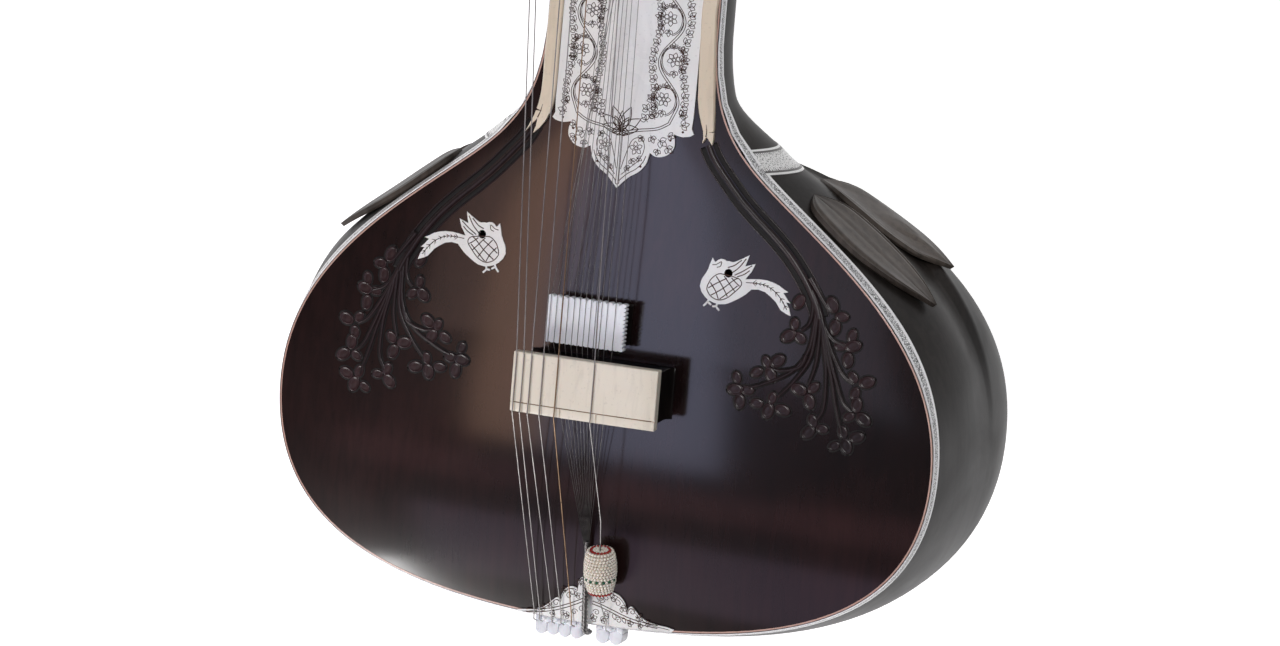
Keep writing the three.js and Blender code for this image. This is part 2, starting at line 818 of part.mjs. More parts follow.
function buildInlayPlate() {
  const foot = inlayShares.map(([x, y]) => {
    return new THREE.Vector2(x * inlayHalf, inlayTipAt + y * inlayFootHeight)
  })
  const rise = inlayEndAt - inlayTipAt
  const top = inlayTopShares.map(([x, y]) => new THREE.Vector2(x * inlayHalf, inlayTipAt + y * rise))
  const outline = prism(mirrored([...foot, ...top]), -overrun, boardDome + overrun)
  const low = gap
  const high = gap + plateThickness
  const above = neckLayer(heelJointAt - gap, inlayEndAt + overrun * 2, low, high, 1)
  return outline.intersect(boardLayer(low, high).add(above))
}

// Tail plate: shares of half-length and height, from its left tip round its humps
const tailPlateShares = [
  [-1, 0.02], [-0.62, 0.24], [-0.5, 0.42], [-0.42, 0.36], [-0.42, 0.66], [-0.3, 0.84], [-0.16, 0.86],
  [-0.08, 1], [0.06, 1], [0.14, 0.88], [0.26, 0.88], [0.39, 0.62], [0.41, 0.42], [0.52, 0.42],
  [0.72, 0.2], [1, 0.05]
]

function buildTailPlate() {
  const base = tailPlateBase - boardLow
  const upper = tailPlateShares.map(([x, y]) => {
    return new THREE.Vector2(tailPlateMiddle + x * tailPlateHalf, base + y * tailPlateHeight)
  })
  const lower = [tailPlateHalf, -tailPlateHalf].map((x) => {
    return new THREE.Vector2(tailPlateMiddle + x, -boardLow - tailPlateBase)
  })
  const outline = prism([...upper, ...lower], -overrun, boardDome + overrun)
  return outline.intersect(boardLayer(gap, gap + plateThickness))
}

// Tail hanger: a bone block hooked over the gourd's edge, its underside cut in two rows of lobes
// with the slot for the twisted strings between them
const lobeSteps = 4
function lobeRow(from, to) {
  const count = Math.round((to - from) / (2 * hangerLobe))
  const half = (to - from) / (2 * count)
  const low = -boardLow - hangerReach + hangerLobe
  const points = []
  for (let i = 0; i < count; i += 1) {
    const middle = from + half * (2 * i + 1)
    for (let k = 0; k <= lobeSteps; k += 1) {
      const angle = Math.PI * (1 + k / lobeSteps)
      if (i === 0 || k > 0) {
        const x = middle + half * Math.cos(angle)
        points.push(new THREE.Vector2(x, low + hangerLobe * Math.sin(angle)))
      }
    }
  }
  return points
}

function buildTailHanger() {
  const outline = [
    ...lobeRow(hangerLeft, hangerSlot[0]),
    new THREE.Vector2(hangerSlot[0], -boardLow - tailHookDepth),
    new THREE.Vector2(hangerSlot[1], -boardLow - tailHookDepth),
    ...lobeRow(hangerSlot[1], hangerRight),
    new THREE.Vector2(hangerRight, -boardLow + hangerReach),
    new THREE.Vector2(hangerLeft, -boardLow + hangerReach)
  ]
  const bar = prism(outline, -hangerTop - hangerHeight, -hangerTop)
  return bar.subtract(shellSolid(-gap, overrun * 2, shellDepthShares, 0))
}

// Bridges

function bridgeTopRing(y, middle, half, top, thickness, crown, lean) {
  const steps = 6
  const upper = Array.from({ length: steps + 1 }, (_, i) => {
    const share = (2 * i) / steps - 1
    return new THREE.Vector3(middle + share * half, y, top - crown * share * share - lean)
  })
  const lower = [
    new THREE.Vector3(middle + half, y, top - thickness),
    new THREE.Vector3(middle - half, y, top - thickness)
  ]
  return [...upper, ...lower]
}

function buildBridgeTop() {
  const low = bridgeAt - bridgeWidth / 2
  const high = bridgeAt + bridgeWidth / 2
  const lean = bridgeTopCrown
  const stations = [
    [low, lean], [bridgeAt - bridgeWidth / 6, lean / 4], [bridgeAt + bridgeWidth / 6, 0], [high, lean / 4]
  ]
  const rings = stations.map(([y, fall]) => {
    const thickness = bridgeTopThickness
    return bridgeTopRing(y, bridgeMiddle, bridgeHalf, bridgeTop, thickness, bridgeTopCrown, fall)
  })
  const groove = block(
    [bridgeMiddle - bridgeHalf - overrun, bridgeMiddle + bridgeHalf + overrun],
    [low + bridgeGrooveFromEdge, low + bridgeGrooveFromEdge + bridgeGrooveDepth],
    [bridgeTop - bridgeTopCrown * 2 - bridgeGrooveDepth, bridgeTop + overrun]
  )
  return solid(loft(rings)).subtract(solid(groove))
}

const bridgeUnder = bridgeTop - bridgeTopThickness - gap
const bridgeArch = bridgeUnder - bridgeBeamThickness

function buildBridgeBase() {
  const half = bridgeHalf - bridgeBaseInset
  const width = bridgeWidth / 2 - bridgeBaseInset
  const outline = [
    new THREE.Vector2(-half, bridgeUnder),
    new THREE.Vector2(-half - bridgeBaseInset, 0),
    new THREE.Vector2(-half + bridgeFootLength, 0),
    new THREE.Vector2(-half + bridgeFootLength, bridgeArch - bridgeHaunch),
    new THREE.Vector2(-half + bridgeFootLength + bridgeHaunch, bridgeArch),
    new THREE.Vector2(half - bridgeFootLength - bridgeHaunch, bridgeArch),
    new THREE.Vector2(half - bridgeFootLength, bridgeArch - bridgeHaunch),
    new THREE.Vector2(half - bridgeFootLength, 0),
    new THREE.Vector2(half + bridgeBaseInset, 0),
    new THREE.Vector2(half, bridgeUnder)
  ]
  const shape = new THREE.Shape(outline)
  const geometry = new THREE.ExtrudeGeometry(shape, { depth: 2 * width, bevelEnabled: false })
  geometry.rotateX(Math.PI / 2).translate(bridgeMiddle, bridgeAt + width, 0)
  return seatOnFace(solid(geometry))
}

const lowBridgeUnder = lowBridgeTop - lowBridgeTopThickness - gap

function buildLowBridgeTop() {
  const low = lowBridgeAt - lowBridgeWidth / 2
  const high = lowBridgeAt + lowBridgeWidth / 2
  const rings = [low, high].map((y) => {
    return bridgeTopRing(y, lowBridgeMiddle, lowBridgeHalf, lowBridgeTop, lowBridgeTopThickness, 0, 0)
  })
  return solid(loft(rings))
}

function buildLowBridgeBase() {
  const half = lowBridgeHalf - lowBridgeBaseInset
  const width = lowBridgeWidth / 2 - lowBridgeBaseInset
  const x = [lowBridgeMiddle - half, lowBridgeMiddle + half]
  const y = [lowBridgeAt - width, lowBridgeAt + width]
  const body = seatOnFace(solid(block(x, y, [0, lowBridgeUnder])))
  const footTop = faceHeight(lowBridgeMiddle, lowBridgeAt) + lowBridgeFootGap
  const inner = [x[0] + lowBridgeFootLength, x[1] - lowBridgeFootLength]
  const between = block(inner, [y[0] - overrun, y[1] + overrun], [0, footTop])
  return body.subtract(solid(between))
}

// Playing strings: across the bridge, along the neck and over the nut

const stringTopGap = gap + playingWire
const bridgeLowEdge = bridgeAt - bridgeWidth / 2

// A wire is a thin tube through its points, one ring at each
function wire(points, radius, sides = 6) {
  const across = new THREE.Vector3(1, 0, 0)
  const rings = points.map((p, i) => {
    const before = points[Math.max(0, i - 1)]
    const after = points[Math.min(points.length - 1, i + 1)]
    const tangent = after.clone().sub(before).normalize()
    const v = tangent.clone().cross(across).normalize()
    const u = v.clone().cross(tangent)
    return Array.from({ length: sides }, (_, k) => {
      const angle = (2 * Math.PI * k) / sides
      const q = p.clone().addScaledVector(u, radius * Math.cos(angle))
      return q.addScaledVector(v, radius * Math.sin(angle))
    })
  })
  return loft(rings)
}

function bridgeSurfaceAt(x) {
  const share = (x - bridgeMiddle) / bridgeHalf
  return bridgeTop - bridgeTopCrown * share * share
}

const tailEdgeClear = gap * 2 + plateThickness + playingWire
function tailPoints(x) {
  return [
    new THREE.Vector3(x, -boardLow - hangerLobe, -tailHookDepth),
    new THREE.Vector3(x, -boardLow - tailEdgeClear, tailEdgeClear),
    new THREE.Vector3(x, -boardLow + tailHookDepth, faceHeight(x, -boardLow + tailHookDepth) + tailEdgeClear)
  ]
}

const beadHalf = beadLength / 2
function beadAxisHeight(y) {
  const under = faceHeight(bridgeStringX[0], beadAt)
  return under + beadRadius + gap + (y - beadAt) * beadSlope
}

function beadStringPoints(x) {
  return [beadAt - beadHalf - beadRun / 3, beadAt + beadRun + beadHalf].map((y) => {
    return new THREE.Vector3(x, y, beadAxisHeight(y))
  })
}

const beadX = tailStringX[0] - 1
const upperBridgeShare = 0.9
function playingPath(index) {
  const x = bridgeStringX[index]
  const height = bridgeSurfaceAt(x) + stringTopGap
  const lowEdge = new THREE.Vector3(x, bridgeLowEdge, height)
  const highEdge = new THREE.Vector3(x, bridgeAt + (bridgeWidth / 2) * upperBridgeShare, height)
  const overBead = index === 0 ? beadStringPoints(beadX) : []
  return [...tailPoints(tailStringX[index]), ...overBead, lowEdge, highEdge]
}

const nutTopClear = nutTop + stringTopGap
const guideAt = nutAt + guideGap
const guideStringHeight = guideTop - guideDrop
function mainStringPath(index) {
  const x = nutStringX[index]
  const path = playingPath(index)
  path.push(new THREE.Vector3(x, nutAt - nutThickness / 2, nutTopClear))
  path.push(new THREE.Vector3(x, nutAt + nutThickness / 2, nutTopClear))
  path.push(new THREE.Vector3(x, guideAt, guideStringHeight))
  const lift = gap + playingWire
  if (index < 2) {
    const peg = frontPegs[index]
    const side = peg.x > x ? -1 : 1
    const height = faceHeight(peg.x, peg.y) + pegWindHeight
    path.push(new THREE.Vector3(peg.x + side * (mainShaft + lift), peg.y, height))
    return path
  }
  const y = headPegPlaces[index === 2 ? 1 : 3]
  path.push(new THREE.Vector3(x, y, faceHeight(x, y) + lift * 2))
  return path
}

// The two side strings pass over their posts and down the neck's side to their own pegs
function chikariPath(index) {
  const path = playingPath(index + nutStringX.length)
  const lift = gap + playingWire
  const at = postPlaces[index]
  const end = chikariPegPlaces[index] - mainShaft
  const outside = -neckHalfWidth(end) - neckSwell - lift
  path.push(new THREE.Vector3(postTopX[index], at - postRadius, postTop + postRadius / 4 + lift))
  path.push(new THREE.Vector3(postTopX[index], at + postRadius, postTop + postRadius / 4 + lift))
  path.push(new THREE.Vector3(outside, end, mainHeadRadius * mainHeadShares[1][0] - pegAxisDepth + lift))
  return path
}

function playingString(index) {
  const chikari = index - nutStringX.length
  const path = chikari < 0 ? mainStringPath(index) : chikariPath(chikari)
  return solid(wire(path, playingWire))
}

// Sympathetic strings: from one twisted bundle, under the main bridge and over their own

function lowStringSolid(index) {
  const x = lowStringX[index]
  const lift = gap + lowWire
  const top = lowBridgeTop + lift
  const lowEdge = lowBridgeAt - lowBridgeWidth / 2
  const entryAt = lowPegPlaces[index] - lowEntryLead
  const path = [
    new THREE.Vector3(bundleX, bundleTopAt - overrun, bundleTopHeight - overrun / 8),
    new THREE.Vector3(x, lowEdge, top),
    new THREE.Vector3(x, lowBridgeAt + lowBridgeWidth / 2, top),
    new THREE.Vector3(lowEntryX, entryAt, faceHeight(lowEntryX, entryAt) + lift * 2)
  ]
  return solid(wire(path, lowWire, 5))
}

function buildLowStrings() {
  const edge = tailPoints(bundleX).map((p) => p.add(new THREE.Vector3(0, -bundleRadius, bundleRadius)))
  const bundle = [...edge, new THREE.Vector3(bundleX, bundleTopAt, bundleTopHeight)]
  let strings = solid(wire(bundle, bundleRadius, 8))
  lowStringX.forEach((_, index) => {
    strings = strings.add(lowStringSolid(index))
  })
  return strings
}

// Nut and guide

const notchDepth = 0.9
function buildNut() {
  const x = [nutMiddle - nutHalf, nutMiddle + nutHalf]
  const y = [nutAt - nutThickness / 2, nutAt + nutThickness / 2]
  let nut = seatOnFace(solid(block(x, y, [0, nutTop + notchDepth - gap])))
  nutStringX.forEach((at) => {
    const across = [at - 2 * playingWire, at + 2 * playingWire]
    const notch = block(across, [y[0] - overrun, y[1] + overrun], [nutTop, nutTop + overrun])
    nut = nut.subtract(solid(notch))
  })
  return nut
}

function buildGuide() {
  const x = [nutMiddle - nutHalf, nutMiddle + nutHalf]
  const y = [guideAt - nutThickness / 2, guideAt + nutThickness / 2]
  let guide = seatOnFace(solid(block(x, y, [0, guideTop])))
  nutStringX.forEach((at) => {
    const from = [at, y[0] - overrun, guideStringHeight]
    const to = [at, y[1] + overrun, guideStringHeight]
    guide = guide.subtract(solid(roundBar(guideHole, from, to, holeSides)))
  })
  return guide
}

// Frets: an arched rod of oval section whose feet stand on both bindings

const fretSides = 6
const fretSteps = 10
function buildFret(y) {
  const footHalf = Math.min(fretHalf, neckHalfWidth(y) - bindingInset - bindingWidth / 2)
  const foot = bindingTopAt(y) + gap
  const rise = fretTop - foot - fretHeight / 2
  const half = footHalf - fretHeight / 2
  const power = 2 / fretSquareness
  const path = Array.from({ length: fretSteps + 1 }, (_, i) => {
    const angle = Math.PI * (1 - i / fretSteps)
    const c = Math.cos(angle)
    const s = Math.sin(angle)
    const x = Math.sign(c) * Math.pow(Math.abs(c), power) * half
    return new THREE.Vector3(x, y, foot + rise * Math.pow(Math.max(0, s), power))
  })
  const rings = path.map((p, i) => {
    const before = path[Math.max(0, i - 1)]
    const after = path[Math.min(fretSteps, i + 1)]
    const tangent = after.clone().sub(before).normalize()
    if (i === 0) tangent.set(0, 0, 1)
    if (i === fretSteps) tangent.set(0, 0, -1)
    const out = new THREE.Vector3(-tangent.z, 0, tangent.x)
    return Array.from({ length: fretSides }, (_, k) => {
      const angle = (2 * Math.PI * k) / fretSides
      const q = p.clone().addScaledVector(out, (fretHeight / 2) * Math.sin(angle))
      q.y += (fretWidth / 2) * Math.cos(angle)
      return q
    })
  })
  return loft(rings)
}

// Pegs: a turned head on a shaft, the profile given along the axis from the shaft's end

function turned(profile, segments) {
  const points = profile.map(([radius, along]) => new THREE.Vector2(radius, along))
  return new THREE.LatheGeometry(points, segments)
}

function pegProfile(shaft, inner, headRadius, headLength, shares) {
  const head = shares.map(([r, along]) => [headRadius * r, along * headLength])
  const tip = [0, headLength]
  return [[0, -inner], [shaft, -inner], [shaft, 0], ...head, tip]
}

const mainPegSegments = 10
const lowPegSegments = 8

function sidePeg(y, shaft, headRadius, headLength, reach, shares, segments) {
  const face = neckHalfWidth(y) + neckSwell + pegHeadGap
  const profile = pegProfile(shaft, reach + pegHeadGap + neckSwell, headRadius, headLength, shares)
  const geometry = turned(profile, segments)
  geometry.rotateZ(Math.PI / 2)
  return geometry.translate(-face, y, -pegAxisDepth)
}

function mainSidePeg(y) {
  return sidePeg(y, mainShaft, mainHeadRadius, mainHeadLength, mainReach, mainHeadShares, mainPegSegments)
}

function lowPeg(y) {
  return sidePeg(y, lowShaft, lowHeadRadius, lowHeadLength, lowReach, lowHeadShares, lowPegSegments)
}

function frontPeg({ x, y }) {
  const stand = faceHeight(x, y) + frontPegStand
  const floor = neckDepthAt(y) - neckFloorWall + frontPegSeat - gap
  const profile = pegProfile(mainShaft, stand + floor, mainHeadRadius, mainHeadLength, mainHeadShares)
  const geometry = turned(profile, mainPegSegments)
  geometry.rotateX(Math.PI / 2)
  return geometry.translate(x, y, stand)
}

// Bead: a turned barrel with a bore along the string

const beadSegments = 14
const beadShoulderShares = { radius: 0.92, along: 0.62 }
function buildBead() {
  const profile = [
    [beadBore, -beadHalf],
    [beadEndRadius, -beadHalf],
    [beadRadius * beadShoulderShares.radius, -beadHalf * beadShoulderShares.along],
    [beadRadius, 0],
    [beadRadius * beadShoulderShares.radius, beadHalf * beadShoulderShares.along],
    [beadEndRadius, beadHalf],
    [beadBore, beadHalf],
    [beadBore, -beadHalf]
  ]
  const geometry = turned(profile, beadSegments)
  geometry.rotateX(Math.atan(beadSlope))
  return geometry.translate(beadX, beadAt, beadAxisHeight(beadAt))
}

// Resting on the floor: the tilt that brings gourd and head down to one plane

function lowestOf(body, tilt) {
  const points = body.getMesh().vertProperties
  let lowest = Infinity
  for (let i = 0; i < points.length; i += 3) {
    lowest = Math.min(lowest, points[i + 2] * Math.cos(tilt) - points[i + 1] * Math.sin(tilt))
  }
  return lowest
}

function restTilt() {
  let low = 0
  let high = Math.PI / 6
  for (let step = 0; step < 40; step += 1) {
    const tilt = (low + high) / 2
    const floor = lowestOf(outerShell, tilt) + gourdRestDepth
    const corner = -headEndAt * Math.sin(tilt) - neckHeadDepth * Math.cos(tilt)
    if (corner > floor - headRestDepth) low = tilt
    else high = tilt
  }
  return (low + high) / 2
}

const tilt = restTilt()
const floorHeight = lowestOf(outerShell, tilt) + gourdRestDepth

function cutByFloor(body) {
  const under = block([-everywhere, everywhere], [-everywhere, everywhere], [-everywhere, 0])
  under.translate(0, 0, floorHeight).rotateX(tilt)
  return body.subtract(solid(under))
}

// The middle of the flat where a body stands on the floor, in tilted axes
function flatMiddle(body) {
  const points = body.getMesh().vertProperties
  const flat = new THREE.Box3()
  for (let i = 0; i < points.length; i += 3) {
    const p = new THREE.Vector3(points[i], points[i + 1], points[i + 2]).applyEuler(instrument.rotation)
    if (p.z < floorHeight + gap / 10) flat.expandByPoint(p)
  }
  return flat.getCenter(new THREE.Vector3())
}

// Finishes

function finish(color, roughness, metalness = 0) {
  return new THREE.MeshStandardMaterial({ color, roughness, metalness })
}

const darkWood = finish(0x241816, 0.18)
const gourdWood = finish(0x2c2522, 0.2)
const carvedWood = finish(0x1f1512, 0.3)
const bone = finish(0xe8e1d2, 0.4)
const engraved = finish(0xf1eeea, 0.35)
const steel = finish(0xa8a8a4, 0.3, 1)
const bronze = finish(0xa9743c, 0.3, 1)
const brass = finish(0xb9a06a, 0.3, 1)
const beads = finish(0xe9e2d4, 0.35)

const instrument = new THREE.Group()

function addPart(name, shape, material) {
  const geometry = shape.isBufferGeometry ? shape : geometryOf(shape)
  const mesh = new THREE.Mesh(geometry, material)
  mesh.name = name
  instrument.add(mesh)
}

const gourd = cutByFloor(bodyShell.subtract(upperHalfSpace(gourdTopAt)))
const heel = bodyShell.intersect(upperHalfSpace(gourdTopAt + gap))
addPart('gourd', gourd, gourdWood)
addPart('heel', heel, gourdWood)
addPart('soundboard', buildSoundboard(), darkWood)
addPart('neck', cutByFloor(buildNeck()), gourdWood)
addPart('neck_plate', buildNeckPlate(), darkWood)
addPart('leaf_collar', buildLeafCollar(), carvedWood)
addPart('inlay_plate', buildInlayPlate(), engraved)
addPart('tail_plate', buildTailPlate(), engraved)
addPart('tail_hanger', buildTailHanger(), bone)
addPart('main_bridge_base', buildBridgeBase(), carvedWood)
addPart('main_bridge_top', buildBridgeTop(), bone)
addPart('taraf_bridge_base', buildLowBridgeBase(), carvedWood)
addPart('taraf_bridge_top', buildLowBridgeTop(), bone)
addPart('nut', buildNut(), bone)
addPart('string_guide', buildGuide(), bone)
addPart('sympathetic_strings', buildLowStrings(), steel)
for (let index = 0; index < bridgeStringX.length; index += 1) {
  addPart(`playing_string_${index + 1}`, playingString(index), index === 1 ? bronze : steel)
}
addPart('tuning_bead', buildBead(), beads)
fretSemitones.forEach((semitone, index) => {
  addPart(`fret_${index + 1}`, buildFret(fretPlace(semitone)), brass)
})
const mainPegShapes = [...frontPegs.map(frontPeg), ...sideMainPegs.map(mainSidePeg)]
mainPegShapes.forEach((shape, index) => addPart(`main_peg_${index + 1}`, shape, carvedWood))
lowPegPlaces.forEach((y, index) => addPart(`taraf_peg_${index + 1}`, lowPeg(y), carvedWood))

// The instrument is tilted onto its back, and the gourd's flat goes to the origin
instrument.rotation.x = -tilt
instrument.position.set(0, -flatMiddle(gourd).y, -floorHeight)

const sitar = new THREE.Group()
sitar.name = 'sitar'
sitar.add(instrument)

export default sitar
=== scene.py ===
# %% [markdown]
# # A sitar in dark polished wood
# This lesson dresses a measured model of a sitar that lies on its back. The model comes in
# first, with the real sizes, the moving pegs, frets and bead, and the name of every part.
# Each cell then makes one piece or one finish of the real instrument.

# %% Load the measured model
import bpy
import bmesh
import json
import math
import numpy as np
from mathutils import Matrix, Vector
from mathutils.bvhtree import BVHTree


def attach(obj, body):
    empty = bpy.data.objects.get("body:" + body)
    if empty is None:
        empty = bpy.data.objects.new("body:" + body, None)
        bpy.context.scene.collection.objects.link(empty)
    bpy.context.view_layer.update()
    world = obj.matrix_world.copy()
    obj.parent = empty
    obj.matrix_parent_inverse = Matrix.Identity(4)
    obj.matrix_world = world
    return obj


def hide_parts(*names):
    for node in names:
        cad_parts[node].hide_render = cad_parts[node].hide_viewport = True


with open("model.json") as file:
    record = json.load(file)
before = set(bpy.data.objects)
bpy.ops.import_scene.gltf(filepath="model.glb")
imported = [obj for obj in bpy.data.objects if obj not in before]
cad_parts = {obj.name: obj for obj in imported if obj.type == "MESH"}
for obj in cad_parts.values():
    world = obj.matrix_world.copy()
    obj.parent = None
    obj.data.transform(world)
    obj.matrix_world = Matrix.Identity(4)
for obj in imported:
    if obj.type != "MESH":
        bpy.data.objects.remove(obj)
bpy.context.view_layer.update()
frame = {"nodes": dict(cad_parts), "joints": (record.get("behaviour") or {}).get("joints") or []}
nodes = frame["nodes"]
scene = bpy.context.scene
scene.view_settings.view_transform = "Standard"

# %% [markdown]
# The instrument is easiest to think of upright: X across the face, Y from the gourd towards
# the head, Z out of the face, with zero at the edge of the soundboard's widest line. The row
# frame has it lying down, so every piece is modelled in millimetres on the instrument's own
# axes, and one matrix lays it down and scales it to metres. A sliding fret gives the tilt,
# and the box of the soundboard gives the shift.

# %% The instrument's own axes
MM = 0.001
fret_axis = next(j["axis"] for j in frame["joints"] if j["name"] == "fret_1_slide")
tilt = math.atan2(-fret_axis[2], fret_axis[1])
lay_turn = Matrix.Rotation(-tilt, 4, "X")


def turned_span(node):
    """Lowest and highest corner of a node, turned upright but not yet shifted, in metres."""
    spots = np.array([lay_turn.inverted() @ v.co for v in nodes[node].data.vertices])
    return spots.min(axis=0), spots.max(axis=0)


board_thickness = 3.0
board_dome = 9.5
board_joint = 142.0
board_top = turned_span("soundboard")[1]
upright_shift = Vector((0.0, board_joint * MM - board_top[1], board_dome * MM - board_top[2]))
lay_down = lay_turn @ Matrix.Translation(-upright_shift) @ Matrix.Scale(MM, 4)


def span(node):
    """Lowest and highest corner of a node on the instrument's axes, in millimetres."""
    low, high = turned_span(node)
    return (low + np.array(upright_shift)) / MM, (high + np.array(upright_shift)) / MM


def middle_of(node):
    return sum(span(node)) / 2


print("tilt in degrees:", round(math.degrees(tilt), 3), "soundboard:", span("soundboard"))

# %% [markdown]
# Blender's operators act on whatever is selected, so one small helper keeps the selection
# clean. The next ones bevel, thicken and cut a piece, make a mesh object with its faces
# outwards, and join rings of points into closed shapes. The last one ends every piece: it lays
# the mesh down, gives it its finish and ties it to the part of the model that it moves with.

# %% Helpers for selecting and finishing
def select_only(*objects):
    bpy.ops.object.select_all(action="DESELECT")
    for one in objects:
        one.select_set(True)
    bpy.context.view_layer.objects.active = objects[0]


def apply_modifiers(piece):
    """Turns every modifier of a piece into plain mesh."""
    select_only(piece)
    bpy.ops.object.convert(target="MESH")
    piece.select_set(False)


def turn_outwards(piece, merge=0.0):
    """Merges doubled points where asked, then turns the faces of closed shapes outwards."""
    select_only(piece)
    bpy.ops.object.mode_set(mode="EDIT")
    bpy.ops.mesh.select_all(action="SELECT")
    if merge:
        bpy.ops.mesh.remove_doubles(threshold=merge)
    bpy.ops.mesh.normals_make_consistent(inside=False)
    bpy.ops.object.mode_set(mode="OBJECT")
    piece.select_set(False)


def bevel(piece, width, segments, angle):
    """Rounds the edges that are sharper than an angle; it is applied with the other steps."""
    soft = piece.modifiers.new("bevel", "BEVEL")
    soft.width, soft.segments = width, segments
    soft.limit_method, soft.angle_limit = "ANGLE", math.radians(angle)


def thicken(piece, depth):
    """Gives a flat piece that looks up a thickness below it."""
    if piece.data.polygons[len(piece.data.polygons) // 2].normal.z < 0:
        piece.data.flip_normals()
    step = piece.modifiers.new("thickness", "SOLIDIFY")
    step.thickness, step.offset = depth, -1


def cut_with(piece, tool):
    """Cuts the shape of a tool out of a piece and takes the tool away."""
    step = piece.modifiers.new("cut", "BOOLEAN")
    step.operation, step.object, step.solver = "DIFFERENCE", tool, "EXACT"
    select_only(piece)
    bpy.ops.object.modifier_apply(modifier=step.name)
    bpy.data.objects.remove(tool)


def new_piece(name, mesh):
    piece = bpy.data.objects.new(name, mesh)
    scene.collection.objects.link(piece)
    return piece


def mesh_piece(name, points, faces, smooth=True, closed=True):
    """A new mesh object from points in the instrument's millimetres."""
    mesh = bpy.data.meshes.new(name)
    mesh.from_pydata([tuple(map(float, p)) for p in points], [], [tuple(f) for f in faces])
    mesh.update()
    for face in mesh.polygons:
        face.use_smooth = smooth
    piece = new_piece(name, mesh)
    if closed:
        turn_outwards(piece)
    return piece


# %% Helpers for rings of points
def rings_to_faces(count, length, closed=True):
    """Quads between rings, or between open rows, that follow each other."""
    faces = []
    for row in range(count - 1):
        for i in range(length if closed else length - 1):
            low, high, j = row * length, (row + 1) * length, (i + 1) % length
            faces.append((low + i, low + j, high + j, high + i))
    return faces


def add_loft(points, faces, rings, joined=False):
    """Adds rings joined by quads; the ends are capped, or joined to each other."""
    start, count, length = len(points), len(rings), len(rings[0])
    points += [tuple(point) for ring in rings for point in ring]
    faces += [tuple(start + i for i in face) for face in rings_to_faces(count, length)]
    first, last = [range(at, at + length) for at in (start, start + (count - 1) * length)]
    if joined:
        faces += [
            (last[k], last[k + 1 - length], first[k + 1 - length], first[k]) for k in range(length)
        ]
    else:
        faces += [tuple(reversed(first)), tuple(last)]


def loft_piece(name, rings, joined=False, smooth=True):
    points, faces = [], []
    add_loft(points, faces, rings, joined)
    return mesh_piece(name, points, faces, smooth)


def circle(sides, wide=1.0, high=None):
    """Points round a circle or an ellipse, as (across, up)."""
    turn = 2 * math.pi * np.arange(sides) / sides
    return np.column_stack([wide * np.cos(turn), (wide if high is None else high) * np.sin(turn)])


def directions(line):
    """Unit vectors along a line, one for each of its points."""
    along = np.gradient(np.asarray(line, float), axis=0)
    return along / np.maximum(np.linalg.norm(along, axis=1), 1e-9)[:, None]


def right_of(line):
    """Unit vectors to the right of a flat line."""
    return directions(line)[:, ::-1] * [1, -1]


def settle(piece, finish, body="body", stands_for=(), angle=None, slot=None):
    """Lays a piece down in the row frame, dresses it and ties it to its body."""
    if angle is not None:
        select_only(piece)
        bpy.ops.object.shade_smooth_by_angle(angle=math.radians(angle))
        apply_modifiers(piece)
    piece.data.transform(lay_down)
    piece.data.update()
    piece.data.materials.clear()
    piece.data.materials.append(finish)
    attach(piece, body)
    if stands_for:
        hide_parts(*stands_for)
    return piece


bpy.ops.object.select_all(action="DESELECT")

# %% [markdown]
# The camera looks down on the face from a little to the right and from the neck's side. It
# stands far away, so the lens is long. Its turns and its place are given on the instrument's
# axes and laid down with it.

# %% Camera
view_roll = math.radians(-4.862)
view_pitch = math.radians(9.665)
view_swing = math.radians(-18.284)
view_shift = Vector((-20.38, -52.86, -2507.07))
view_turn = (
    Matrix.Rotation(view_roll, 4, "Z")
    @ Matrix.Rotation(view_pitch, 4, "X")
    @ Matrix.Rotation(view_swing, 4, "Y")
)
view_home = view_turn.inverted() @ Matrix.Translation(-view_shift)
camera_data = bpy.data.cameras.new("studio_camera")
camera_data.sensor_width = 36.0
camera_data.lens = 140.6
camera_data.clip_end = 50.0
camera = bpy.data.objects.new("studio_camera", camera_data)
scene.collection.objects.link(camera)
camera.matrix_world = lay_down @ view_home @ Matrix.Scale(1 / MM, 4)
scene.camera = camera
print("camera at", [round(v, 3) for v in camera.matrix_world.translation])

# %% [markdown]
# Every finish is a Principled shader with its own noise. Two effects are used by many of them,
# so they are node groups: the figure of wood, with long fibres and slow clouds, and the
# handling marks of an old polish, which are faint smudges and fine rubbed lines.

# %% Helpers for shader nodes
def add_node(tree, kind, inputs=None, **settings):
    """A shader node with its settings; an input is a plain value or the socket that feeds it."""
    node = tree.nodes.new(kind)
    for key, value in settings.items():
        setattr(node, key, value)
    for key, value in (inputs or {}).items():
        if isinstance(value, bpy.types.NodeSocket):
            tree.links.new(value, node.inputs[key])
        else:
            node.inputs[key].default_value = value
    return node


def maths(tree, operation, *values):
    inputs = dict(enumerate(values))
    return add_node(tree, "ShaderNodeMath", inputs, operation=operation).outputs[0]


def ramp(tree, stops, source):
    """A ramp of greys from (place, grey) stops."""
    node = add_node(tree, "ShaderNodeValToRGB", {"Fac": source})
    elements = node.color_ramp.elements
    while len(elements) < len(stops):
        elements.new(0.5)
    for element, (place, colour) in zip(elements, stops):
        element.position = place
        element.color = (colour, colour, colour, 1)
    return node.outputs["Color"]


def mix_colours(tree, factor, low, high, blend="MIX"):
    """Mixes two colours or sockets by a factor that is a number or a socket."""
    low, high = [(*tone, 1) if isinstance(tone, tuple) else tone for tone in (low, high)]
    inputs = {0: factor, 6: low, 7: high}
    return add_node(tree, "ShaderNodeMix", inputs, data_type="RGBA", blend_type=blend).outputs[2]


